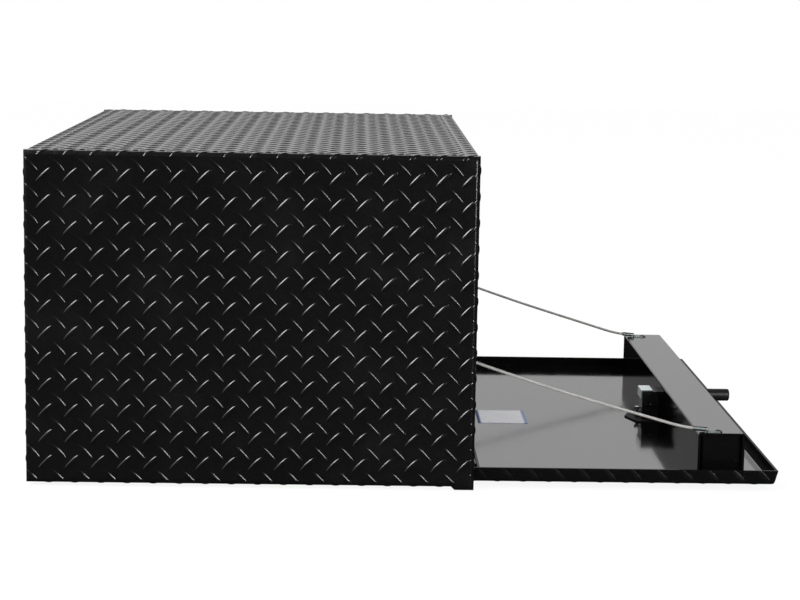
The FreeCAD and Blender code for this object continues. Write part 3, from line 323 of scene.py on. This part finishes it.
def cable_strands(colour, twist):
    """Laid wire strands that follow the cable, with dull zinc and darker grey in the grooves."""
    material, finish = new_material("cable_strands")
    read = finish.node("ShaderNodeAttribute", {"attribute_name": "strand"}, output=1)
    parts = finish.node("ShaderNodeSeparateXYZ", values=[read])
    across = Value(finish, parts.socket.node.outputs[1])
    along = Value(finish, parts.socket.node.outputs[2])
    turn = finish.node("ShaderNodeMath", {"operation": "ARCTAN2"}, [across, parts])
    groove = (turn * 6.0 + along * twist).maths("SINE") * 0.5 + 0.5
    ridge = groove ** 0.5
    stain = finish.noise(0.01, 3.0).smooth_step(0.35, 0.8)
    dull = finish.mix_colours(stain * 0.4, colour, (0.36, 0.33, 0.28, 1.0))
    finish.surface(
        Base_Color=finish.mix_colours(1 - ridge, dull, grey(0.14)),
        Metallic=0.35,
        Roughness=finish.noise(0.002, 2.0) * 0.2 + 0.35,
        Normal=finish.bump(ridge, 0.0003, 0.8),
    )
    return material


def sticker_paper(paper, edge):
    """Coated white paper with a coloured band at each end, faintly creased."""
    material, finish = new_material("sticker_paper")
    parts = finish.node("ShaderNodeSeparateXYZ", values=[finish.place()])
    settings = props().sticker
    middle = settings.out + settings.length / 2
    reach = (parts - middle).maths("ABSOLUTE")
    start = settings.length / 2 - settings.band
    band = reach.smooth_step(start, start + 0.6 * MM)
    tint = finish.noise(0.02, 2.0).smooth_step(0.4, 0.7)
    faded = finish.mix_colours(tint, paper, tuple(value * 0.94 for value in paper[:3]) + (1.0,))
    finish.surface(
        Base_Color=finish.mix_colours(band, faded, edge),
        Roughness=finish.noise(0.004, 2.0) * 0.1 + 0.3,
        Normal=finish.bump(finish.noise(0.012, 2.0), 0.0001, 0.4),
    )
    return material


# Settings that a user would change


class TreadSettings(bpy.types.PropertyGroup):
    """The rolled pattern of the tread plate."""

    pitch: bpy.props.FloatProperty(
        name="Pitch", description="Repeat of the pattern both ways", default=0.0355, unit="LENGTH")
    lug_length: bpy.props.FloatProperty(
        name="Lug Length", description="Length of a raised lug", default=0.0305, unit="LENGTH")
    lug_width: bpy.props.FloatProperty(
        name="Lug Width", description="Width of a raised lug", default=0.0066, unit="LENGTH")
    lug_height: bpy.props.FloatProperty(
        name="Lug Height", description="Height of a raised lug", default=0.0013, unit="LENGTH")
    lag: bpy.props.FloatProperty(
        name="Lag", description="How far every other lug lies below the middle of the gap",
        default=0.0027, unit="LENGTH")
    crush: bpy.props.FloatProperty(
        name="Crush", description="Share of a lug's height that a bend presses flat",
        default=0.6, subtype="FACTOR")


class CoatSettings(bpy.types.PropertyGroup):
    """The black coat on all sheets."""

    colour: bpy.props.FloatVectorProperty(
        name="Colour", description="Colour of the coat", size=4, subtype="COLOR",
        default=(0.003, 0.003, 0.0031, 1.0))
    tread_roughness: bpy.props.FloatProperty(
        name="Tread Roughness", description="Roughness of the coat on tread plate",
        default=0.2, subtype="FACTOR")
    sheet_roughness: bpy.props.FloatProperty(
        name="Sheet Roughness", description="Roughness of the coat on flat sheet",
        default=0.09, subtype="FACTOR")
    hardware: bpy.props.FloatVectorProperty(
        name="Hardware", description="Colour of black hardware", size=4, subtype="COLOR",
        default=(0.012, 0.012, 0.013, 1.0))
    zinc: bpy.props.FloatVectorProperty(
        name="Zinc", description="Colour of bright zinc", size=4, subtype="COLOR",
        default=(0.72, 0.82, 0.86, 1.0))


class CableSettings(bpy.types.PropertyGroup):
    """The stay cables."""

    diameter: bpy.props.FloatProperty(
        name="Diameter", description="Diameter of a stay cable", default=0.0040, unit="LENGTH")
    sides: bpy.props.IntProperty(
        name="Sides", description="Faces round a stay cable", default=18)
    twist: bpy.props.FloatProperty(
        name="Twist", description="Turn of the strands in radians for each metre", default=1500.0)
    colour: bpy.props.FloatVectorProperty(
        name="Colour", description="Colour of the strands", size=4, subtype="COLOR",
        default=(0.64, 0.63, 0.6, 1.0))


class StickerSettings(bpy.types.PropertyGroup):
    """The blank sticker inside the door."""

    out: bpy.props.FloatProperty(
        name="Out", description="Sticker's inner end, out from the middle", default=0.3325, unit="LENGTH")
    side: bpy.props.FloatProperty(
        name="Side", description="Sticker's near edge", default=-0.063, unit="LENGTH")
    length: bpy.props.FloatProperty(
        name="Length", description="Length out from the box", default=0.0768, unit="LENGTH")
    width: bpy.props.FloatProperty(
        name="Width", description="Width along the door", default=0.102, unit="LENGTH")
    band: bpy.props.FloatProperty(
        name="Band", description="Width of the coloured ends", default=0.005, unit="LENGTH")
    paper: bpy.props.FloatVectorProperty(
        name="Paper", description="Colour of the paper", size=4, subtype="COLOR",
        default=(0.74, 0.75, 0.79, 1.0))
    edge: bpy.props.FloatVectorProperty(
        name="Edge", description="Colour of the ends", size=4, subtype="COLOR",
        default=(0.16, 0.26, 0.5, 1.0))


class StageSettings(bpy.types.PropertyGroup):
    """The floor, the surroundings and the lamps."""

    key_power: bpy.props.FloatProperty(
        name="Key Power", description="Power of the large lamp at the left", default=60.0, unit="POWER")
    side_power: bpy.props.FloatProperty(
        name="Side Power", description="Power of the tall lamp at the right", default=32.0, unit="POWER")
    top_power: bpy.props.FloatProperty(
        name="Top Power", description="Power of the lamp overhead", default=20.0, unit="POWER")
    ambient: bpy.props.FloatProperty(
        name="Ambient", description="Strength of the surroundings", default=0.75)
    dim_reflection: bpy.props.FloatProperty(
        name="Dim Reflection", description="Strength of the dark surroundings in gloss", default=0.03)


class ToolBoxSettings(bpy.types.PropertyGroup):
    """All settings of the tool box."""

    tread: bpy.props.PointerProperty(type=TreadSettings)
    coat: bpy.props.PointerProperty(type=CoatSettings)
    cable: bpy.props.PointerProperty(type=CableSettings)
    sticker: bpy.props.PointerProperty(type=StickerSettings)
    stage: bpy.props.PointerProperty(type=StageSettings)


def props():
    """The tool box's settings."""
    return bpy.context.scene.tool_box


def new_piece(name, mesh, material, body=None):
    """Put a finished mesh in the scene with its material."""
    piece = bpy.data.objects.new(name, mesh)
    bpy.context.scene.collection.objects.link(piece)
    mesh.materials.clear()
    mesh.materials.append(material)
    if body:
        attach(piece, body)
    return piece


def mesh_from(bm, name, smooth=True):
    """A mesh from a bmesh, which is then freed."""
    mesh = bpy.data.meshes.new(name)
    for face in bm.faces:
        face.smooth = smooth
    bm.to_mesh(mesh)
    bm.free()
    return mesh


def paint(names, material):
    """Give nodes of the solid model a material."""
    for name in names:
        for slot in NODES[name].material_slots:
            slot.material = material


# Tread plate

LUG_SINK = 0.08 * MM  # how far a lug's edge lies in the sheet
CORNER_CUT = 2.0 * MM  # least corner left bare where no margin folds


def lug_cell(settings):
    """Two lugs, leaning opposite ways, that make one repeat of the pattern."""
    bm = bmesh.new()
    pitch = settings.pitch
    lag = settings.lag
    for turn, shift in ((math.pi / 4, (0.0, 0.0)), (-math.pi / 4, (pitch / 2, pitch / 2 - lag))):
        made = bmesh.ops.create_grid(bm, x_segments=9, y_segments=6, size=1.0)
        lug = made["verts"]
        for vert in lug:
            run, across = vert.co.x, vert.co.y
            fullness = max(1 - abs(run) ** 2.4, 0.0)
            vert.co.x = run * settings.lug_length / 2
            vert.co.y = across * settings.lug_width / 2 * fullness ** 0.75
            crown = max(1 - abs(across) ** 3, 0.0) * max(1 - abs(run) ** 2.2, 0.0)
            vert.co.z = crown * settings.lug_height - LUG_SINK
        bmesh.ops.rotate(bm, verts=lug, matrix=Matrix.Rotation(turn, 3, "Z"))
        bmesh.ops.translate(bm, verts=lug, vec=(*shift, 0.0))
    bmesh.ops.remove_doubles(bm, verts=bm.verts, dist=0.00002)
    return mesh_from(bm, "lug_cell")


def lug_field(settings, width, height, phase):
    """The pattern over a flat rectangle, cut at its edges."""
    cell = bpy.data.objects.new("lug_cell", lug_cell(settings))
    bpy.context.scene.collection.objects.link(cell)
    for axis, size in ((0, width), (1, height)):
        row = cell.modifiers.new("row", "ARRAY")
        row.use_relative_offset = False
        row.use_constant_offset = True
        row.constant_offset_displace = [settings.pitch * (index == axis) for index in range(3)]
        row.count = math.ceil(size / settings.pitch) + 4
    bpy.context.view_layer.update()
    graph = bpy.context.evaluated_depsgraph_get()
    full = bpy.data.meshes.new_from_object(cell.evaluated_get(graph))
    bpy.data.objects.remove(cell)
    bm = bmesh.new()
    bm.from_mesh(full)
    bpy.data.meshes.remove(full)
    start = [-size / 2 - settings.pitch * 2 + (offset + size / 2) % settings.pitch
             for size, offset in ((width, phase[0]), (height, phase[1]))]
    bmesh.ops.translate(bm, verts=bm.verts, vec=(*start, 0.0))
    for normal, reach in (((1, 0, 0), width / 2), ((0, 1, 0), height / 2)):
        for side in (-1, 1):
            direction = Vector(normal) * side
            cut_away(bm, direction * reach, direction)
    return bm


def cut_away(bm, point, direction):
    """Cut off what lies beyond a plane."""
    bmesh.ops.bisect_plane(bm, geom=bm.verts[:] + bm.edges[:] + bm.faces[:], dist=1e-7,
                           plane_co=point, plane_no=direction, clear_outer=True)


def fold(distance, height, edge, margin, crush, relief):
    """Where a point of the flat pattern lies once its margin is folded: across and out."""
    radius, angle, _ = margin
    start = edge - radius * math.tan(angle / 2)
    beyond = abs(distance) - start
    if beyond <= 0:
        return distance, height
    turn = min(beyond / radius, angle)
    height *= 1 - crush * math.sin(turn / angle * math.pi)
    height *= 1 - (1 - relief) * min(turn * 2 / angle, 1.0)
    across = start + (radius + height) * math.sin(turn)
    out = -radius + (radius + height) * math.cos(turn)
    rest = beyond - radius * turn
    across += rest * math.cos(turn)
    out -= rest * math.sin(turn)
    return math.copysign(across, distance), out


class TreadSheet:
    """A sheet of tread plate: where its face lies and how its four margins fold.

    The relief is the share of their height that lugs keep on the folded margins.
    """

    def __init__(self, name, body, middle, right, up, size, margins, phase=(0.0, 0.0), holes=(),
                 relief=1.0):
        self.name = name
        self.body = body
        self.middle = Vector(middle)
        self.right = Vector(right)
        self.up = Vector(up)
        self.out = self.right.cross(self.up)
        self.size = size
        self.margins = margins
        self.phase = phase
        self.holes = holes
        self.relief = relief

    def reach(self, side):
        """Length of the flat pattern from the middle over one margin."""
        half = self.size[0 if side in ("left", "right") else 1] / 2
        radius, angle, flange = self.margins[side]
        if not angle:
            return half + flange
        tangent = radius * math.tan(angle / 2)
        return half - tangent + radius * angle + max(flange - tangent, 0.0)

    def build(self, settings, material, slot):
        """The sheet's lugs, folded with it."""
        reaches = {side: self.reach(side) for side in ("left", "right", "bottom", "top")}
        width, height = 2 * max(reaches["left"], reaches["right"]), 2 * max(reaches["bottom"], reaches["top"])
        bm = lug_field(settings, width, height, self.phase)
        for side, direction in (("left", (-1, 0, 0)), ("right", (1, 0, 0)),
                                ("bottom", (0, -1, 0)), ("top", (0, 1, 0))):
            cut_away(bm, Vector(direction) * reaches[side], Vector(direction))
        half_width, half_height = self.size[0] / 2, self.size[1] / 2
        spare = [vert for vert in bm.verts if self.left_out(vert.co, half_width, half_height)]
        bmesh.ops.delete(bm, geom=spare, context="VERTS")
        for vert in bm.verts:
            vert.co = self.folded_place(vert.co, half_width, half_height, settings.crush)
        mesh = mesh_from(bm, self.name)
        return new_piece(self.name, mesh, material, self.body)

    def left_out(self, point, half_width, half_height):
        """Whether a point falls in a cut-out corner or a hole."""
        x, y = point.x, point.y
        sideways = self.margins["right" if x > 0 else "left"]
        endways = self.margins["top" if y > 0 else "bottom"]
        in_side = abs(x) > half_width - max(sideways[0], CORNER_CUT)
        in_end = abs(y) > half_height - max(endways[0], CORNER_CUT)
        if in_side and in_end:
            return True
        return any(math.hypot(x - hole_x, y - hole_y) < radius for hole_x, hole_y, radius in self.holes)

    def folded_place(self, point, half_width, half_height, crush):
        """A point of the flat pattern on the folded sheet."""
        x, y, out = point
        side = "right" if x > 0 else "left"
        end = "top" if y > 0 else "bottom"
        radius, angle, _ = self.margins[side]
        if angle and abs(x) > half_width - radius * math.tan(angle / 2):
            x, out = fold(x, out, half_width, self.margins[side], crush, self.relief)
        elif self.margins[end][1]:
            y, out = fold(y, out, half_height, self.margins[end], crush, self.relief)
        return self.middle + self.right * x + self.up * y + self.out * out


SQUARE = math.pi / 2
BODY_BEND = 6.4 * MM
DOOR_BEND = 5.0 * MM
EDGE_TURN = math.radians(74)


def margins(left, right, bottom, top):
    """The four margins of a sheet, each as radius, angle and flange."""
    return {"left": left, "right": right, "bottom": bottom, "top": top}


def tread_sheets():
    """Every sheet of tread plate of the box and its door."""
    end_fold = (BODY_BEND, SQUARE, 14.5 * MM)
    wrap = (BODY_BEND, SQUARE, 19.5 * MM)
    cut = (0.0, 0.0, -0.5 * MM)
    short = (0.0, 0.0, -6.5 * MM)
    low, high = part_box("end_panel_near")
    floor_level, top_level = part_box("floor_panel")[0].z, high.z
    box_middle, box_height = (floor_level + top_level) / 2, top_level - floor_level
    depth = high.x - low.x
    header_low, header_high = 422.6 * MM, top_level
    top_low, top_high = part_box("top_panel")
    floor_low, floor_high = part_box("floor_panel")
    back_low, back_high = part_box("back_panel")
    pan_low, pan_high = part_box("door_pan")
    pan_edge = pan_high.x - (pan_high.z - pan_low.z) * math.tan(SQUARE - EDGE_TURN)
    pan_middle = (pan_low.x + pan_edge) / 2
    dish_low, dish_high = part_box("latch_dish")
    dish_hole = ((dish_low.x + dish_high.x) / 2 - pan_middle, 0.0, 38 * MM)
    sill_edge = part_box("sill")[0].x
    return [
        TreadSheet("tread_near_end", "box", (0, low.y, box_middle), (1, 0, 0), (0, 0, 1),
                   (depth, box_height), margins(end_fold, end_fold, end_fold, end_fold),
                   phase=(-29.0 * MM, 277.3 * MM - box_middle)),
        TreadSheet("tread_far_end", "box", (0, -low.y, box_middle), (-1, 0, 0), (0, 0, 1),
                   (depth, box_height), margins(end_fold, end_fold, end_fold, end_fold),
                   phase=(6 * MM, 2 * MM)),
        TreadSheet("tread_top", "box", (0, 0, top_level), (1, 0, 0), (0, 1, 0),
                   (top_high.x - top_low.x, top_high.y - top_low.y), margins(cut, cut, cut, cut),
                   phase=(3 * MM, 5 * MM)),
        TreadSheet("tread_floor", "box", ((floor_low.x + sill_edge) / 2, 0, floor_level), (-1, 0, 0),
                   (0, 1, 0), (sill_edge - floor_low.x, floor_high.y - floor_low.y),
                   margins(cut, cut, cut, cut)),
        TreadSheet("tread_back", "box", (back_low.x, 0, box_middle), (0, -1, 0), (0, 0, 1),
                   (back_high.y - back_low.y, box_height), margins(cut, cut, wrap, wrap),
                   phase=(9 * MM, 4 * MM)),
        TreadSheet("tread_header", "box", (high.x, 0, (header_low + header_high) / 2), (0, 1, 0),
                   (0, 0, 1), (back_high.y - back_low.y, header_high - header_low),
                   margins(cut, cut, short, wrap), phase=(2 * MM, 6 * MM),
                   holes=[(0.0, -14 * MM, 19 * MM)]),
        TreadSheet("tread_door", "door", (pan_middle, 0, pan_low.z), (-1, 0, 0), (0, 1, 0),
                   (pan_edge - pan_low.x, pan_high.y - pan_low.y),
                   margins((DOOR_BEND, EDGE_TURN, 20.0 * MM), short, (DOOR_BEND, SQUARE, 19.4 * MM),
                           (DOOR_BEND, SQUARE, 19.4 * MM)),
                   phase=(1.8 * MM, -1.95 * MM), holes=[(-dish_hole[0], 0.0, dish_hole[2])],
                   relief=0.2),
    ]


# Stay cables


def cable_curve(name, side, bevel, sides):
    """A stay cable's smooth line, round when the bevel is set."""
    curve = bpy.data.curves.new(name, "CURVE")
    curve.dimensions = "3D"
    spline = curve.splines.new("NURBS")
    spline.points.add(len(CABLE_ROUTE) - 1)
    for point, (x, y, z) in zip(spline.points, CABLE_ROUTE):
        point.co = (x, side * y, z, 1.0)
    spline.order_u = 3
    spline.use_endpoint_u = True
    spline.resolution_u = 12
    curve.bevel_depth = bevel
    curve.bevel_resolution = max(sides // 2 - 2, 0)
    curve.use_fill_caps = False
    carrier = bpy.data.objects.new(name, curve)
    bpy.context.scene.collection.objects.link(carrier)
    bpy.context.view_layer.update()
    graph = bpy.context.evaluated_depsgraph_get()
    mesh = bpy.data.meshes.new_from_object(carrier.evaluated_get(graph))
    bpy.data.objects.remove(carrier)
    return mesh


def mark_strands(mesh, path):
    """Store each point's direction round the cable and its distance along it."""
    around = len(mesh.vertices) // len(path)
    store = mesh.attributes.new("strand", "FLOAT_VECTOR", "POINT")
    distance, last = 0.0, path[0]
    for index, centre in enumerate(path):
        distance += (centre - last).length
        last = centre
        for turn in range(around):
            angle = 2 * math.pi * turn / around
            value = (math.cos(angle), math.sin(angle), distance)
            store.data[index * around + turn].vector = value


# Operators


class TOOLBOX_OT_stage(bpy.types.Operator):
    """Make the floor, the surroundings, the lamps and the camera"""

    bl_idname = "tool_box.stage"
    bl_label = "Make Stage"

    def execute(self, context):
        settings = props().stage
        context.scene.view_settings.view_transform = "Standard"
        self.camera(context)
        self.floor(context)
        self.surroundings(context, settings)
        self.lamp(context, "key", (-2.1, -2.3, 2.4), (1.3, 1.3), settings.key_power)
        self.lamp(context, "side", (1.7, -2.75, 0.95), (0.35, 1.6), settings.side_power)
        self.lamp(context, "overhead", (-1.3, -0.5, 2.5), (0.6, 0.6), settings.top_power)
        return {"FINISHED"}

    def camera(self, context):
        """The photograph's own viewpoint."""
        ahead = Vector((math.sin(CAMERA_YAW) * math.cos(CAMERA_PITCH),
                        math.cos(CAMERA_YAW) * math.cos(CAMERA_PITCH), -math.sin(CAMERA_PITCH)))
        level = Vector((math.cos(CAMERA_YAW), -math.sin(CAMERA_YAW), 0.0))
        upright = level.cross(ahead)
        right = level * math.cos(CAMERA_ROLL) + upright * math.sin(CAMERA_ROLL)
        up = upright * math.cos(CAMERA_ROLL) - level * math.sin(CAMERA_ROLL)
        lens = bpy.data.cameras.new("camera")
        lens.sensor_width = 36.0
        lens.lens = FOCAL_PIXELS / IMAGE_WIDTH * lens.sensor_width
        lens.clip_end = 50.0
        camera = bpy.data.objects.new("camera", lens)
        turn = Matrix((right, up, -ahead)).transposed().to_4x4()
        camera.matrix_world = Matrix.Translation(CAMERA_PLACE) @ turn
        context.scene.collection.objects.link(camera)
        context.scene.camera = camera

    def floor(self, context):
        """A pale floor that stays white and keeps a soft shadow."""
        bm = bmesh.new()
        bmesh.ops.create_grid(bm, x_segments=1, y_segments=1, size=9.0)
        bmesh.ops.translate(bm, verts=bm.verts, vec=(0.0, 0.0, SOLID_BOX[0][2] - 0.0004))
        material, finish = new_material("pale_floor")
        rays = finish.node("ShaderNodeLightPath")
        camera_ray = Value(finish, rays.socket.node.outputs["Is Camera Ray"])
        glossy_ray = Value(finish, rays.socket.node.outputs["Is Glossy Ray"])
        paint_white = finish.node("ShaderNodeBsdfDiffuse", values={"Color": grey(0.8)})
        lit = finish.node("ShaderNodeEmission", values={"Color": grey(1.0), "Strength": 1.06})
        dark = finish.node("ShaderNodeBsdfDiffuse", values={"Color": grey(0.02)})
        seen = finish.node("ShaderNodeMixShader", values=[camera_ray * 0.85, paint_white, lit])
        closing = finish.node("ShaderNodeMixShader", values=[glossy_ray, seen, dark])
        finish.node("ShaderNodeOutputMaterial", values={"Surface": closing})
        new_piece("floor", mesh_from(bm, "floor", smooth=False), material)

    def surroundings(self, context, settings):
        """White behind the object and in its gloss, dim where the photographer stands."""
        world = bpy.data.worlds.new("surroundings")
        context.scene.world = world
        finish = Finish(world)
        rays = finish.node("ShaderNodeLightPath").socket.node.outputs
        camera_ray = Value(finish, rays["Is Camera Ray"])
        glossy_ray = Value(finish, rays["Is Glossy Ray"])
        through_ray = Value(finish, rays["Is Transmission Ray"])
        direction = finish.node("ShaderNodeTexCoord")
        parts = finish.node("ShaderNodeSeparateXYZ", values=[direction]).socket.node.outputs
        left = 1 - Value(finish, parts[0]).smooth_step(-0.9, 0.1)
        right = Value(finish, parts[0]).smooth_step(0.2, 0.5)
        behind = (left * 1.1 + Value(finish, parts[1])).smooth_step(0.0, 0.8) * (1 - right * 0.85)
        low = 1 - Value(finish, parts[2]).smooth_step(0.45, 0.85) * (1 - left * 0.9)
        haze = Value(finish, parts[2]).smooth_step(0.12, 0.3) * 0.4 + 0.66
        shown = behind * low * haze * (1 - settings.dim_reflection) + settings.dim_reflection
        white = finish.node("ShaderNodeBackground", values={"Color": grey(1.0), "Strength": 1.0})
        soft = finish.node("ShaderNodeBackground", values={"Color": grey(1.0), "Strength": settings.ambient})
        mirrored = finish.node("ShaderNodeBackground", values={"Color": grey(1.0), "Strength": shown})
        closing = finish.node("ShaderNodeMixShader", values=[glossy_ray, soft, mirrored])
        closing = finish.node("ShaderNodeMixShader", values=[(camera_ray + through_ray).maths("MINIMUM", 1.0),
                                                             closing, white])
        finish.node("ShaderNodeOutputWorld", values={"Surface": closing})

    def lamp(self, context, name, place, size, power):
        """A soft lamp, of a width and a height, that faces the box."""
        light = bpy.data.lights.new(name, "AREA")
        light.shape = "RECTANGLE"
        light.size, light.size_y = size
        light.energy = power
        lamp = bpy.data.objects.new(name, light)
        aim = Vector((0.15, 0.0, 0.2)) - Vector(place)
        lamp.matrix_world = Matrix.Translation(place) @ aim.to_track_quat("-Z", "Y").to_matrix().to_4x4()
        context.scene.collection.objects.link(lamp)


class TOOLBOX_OT_cables(bpy.types.Operator):
    """Make the two stay cables that hold the door level"""

    bl_idname = "tool_box.cables"
    bl_label = "Make Stay Cables"

    def execute(self, context):
        settings = props().cable
        material = cable_strands(settings.colour[:], settings.twist)
        for name, side in (("near", -1), ("far", 1)):
            path = [vertex.co.copy() for vertex in cable_curve(f"line_{name}", side, 0.0, 0).vertices]
            mesh = cable_curve(f"stay_cable_{name}", side, settings.diameter / 2, settings.sides)
            mark_strands(mesh, path)
            for polygon in mesh.polygons:
                polygon.use_smooth = True
            cable = new_piece(f"stay_cable_{name}", mesh, material)
            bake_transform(cable)
            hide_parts(f"cable_{name}")
        return {"FINISHED"}


class TOOLBOX_OT_sheets(bpy.types.Operator):
    """Coat the folded sheets and raise the tread pattern on their outsides"""

    bl_idname = "tool_box.sheets"
    bl_label = "Make Sheets"

    def execute(self, context):
        coat = props().coat
        tread = tread_coat(coat.colour[:], coat.tread_roughness)
        smooth = smooth_coat(coat.colour[:], coat.sheet_roughness)
        paint(TREAD_NODES, tread)
        paint(FOLDED_NODES + DOOR_NODES + HINGE_NODES, smooth)
        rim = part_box("door_pan")[1].z
        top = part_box("door_channel")[1].z
        # Painted shade: bands of flat black dim the highlight on the pan's rim and the reflections on the
        # channel's walls
        painted_shade_bands = {"door_pan": (rim - 0.6 * MM, rim, 0.7), "door_channel": (0.0, top - 3.5 * MM, 0.6)}
        for name, band in painted_shade_bands.items():
            paint([name], smooth_coat(coat.colour[:], coat.sheet_roughness, band))
        for sheet in tread_sheets():
            sheet.build(props().tread, tread, "door_coat" if sheet.body == "door" else "body_coat")
        return {"FINISHED"}


class TOOLBOX_OT_hardware(bpy.types.Operator):
    """Finish the latch, the lugs, the fixings and the seal"""

    bl_idname = "tool_box.hardware"
    bl_label = "Finish Hardware"

    def execute(self, context):
        coat = props().coat
        paint(BLACK_NODES, satin_hardware(coat.hardware[:]))
        paint(["latch_base_plate"], worn_plate(coat.hardware[:]))
        paint(ZINC_NODES, zinc_plate("bright_zinc", coat.zinc[:]))
        dull_zinc = tuple(channel * 0.45 for channel in coat.zinc[:3]) + (1.0,)
        paint(["cable_lugs_box", "cable_lugs_door"], zinc_plate("dull_zinc", dull_zinc, 0.32))
        paint(["lock_core"], polished_chrome())
        paint(["door_seal"], seal_rubber())
        return {"FINISHED"}


class TOOLBOX_OT_sticker(bpy.types.Operator):
    """Lay the blank sticker inside the door"""

    bl_idname = "tool_box.sticker"
    bl_label = "Lay Sticker"

    def execute(self, context):
        settings = props().sticker
        floor_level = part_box("latch_base_plate")[0].z
        bm = bmesh.new()
        made = bmesh.ops.create_grid(bm, x_segments=12, y_segments=16, size=0.5)
        bmesh.ops.scale(bm, verts=made["verts"], vec=(settings.length, settings.width, 1.0))
        middle = (settings.out + settings.length / 2, settings.side + settings.width / 2,
                  floor_level + 0.35 * MM)
        bmesh.ops.translate(bm, verts=made["verts"], vec=middle)
        mesh = mesh_from(bm, "blank_sticker")
        paper = sticker_paper(settings.paper[:], settings.edge[:])
        piece = new_piece("blank_sticker", mesh, paper, "door")
        thickness = piece.modifiers.new("thickness", "SOLIDIFY")
        thickness.thickness = 0.2 * MM
        thickness.offset = -1.0
        return {"FINISHED"}


OPERATORS = (TOOLBOX_OT_stage, TOOLBOX_OT_cables, TOOLBOX_OT_sheets, TOOLBOX_OT_hardware,
             TOOLBOX_OT_sticker)


class TOOLBOX_PT_panel(bpy.types.Panel):
    """Lists the steps that dress the tool box"""

    bl_label = "Tool Box"
    bl_idname = "TOOLBOX_PT_panel"
    bl_space_type = "VIEW_3D"
    bl_region_type = "UI"
    bl_category = "Tool Box"

    def draw(self, context):
        for operator in OPERATORS:
            self.layout.operator(operator.bl_idname)
        for name in ("tread", "coat", "cable", "sticker", "stage"):
            group = getattr(context.scene.tool_box, name)
            column = self.layout.column(align=True)
            for key in group.__annotations__:
                column.prop(group, key)


CLASSES = (TreadSettings, CoatSettings, CableSettings, StickerSettings, StageSettings,
           ToolBoxSettings, *OPERATORS, TOOLBOX_PT_panel)


def register():
    for cls in CLASSES:
        bpy.utils.register_class(cls)
    bpy.types.Scene.tool_box = bpy.props.PointerProperty(type=ToolBoxSettings)


def unregister():
    del bpy.types.Scene.tool_box
    for cls in reversed(CLASSES):
        bpy.utils.unregister_class(cls)


def main():
    register()
    bpy.ops.tool_box.stage()
    bpy.ops.tool_box.cables()
    bpy.ops.tool_box.sheets()
    bpy.ops.tool_box.hardware()
    bpy.ops.tool_box.sticker()


if __name__ == "__main__":
    main()
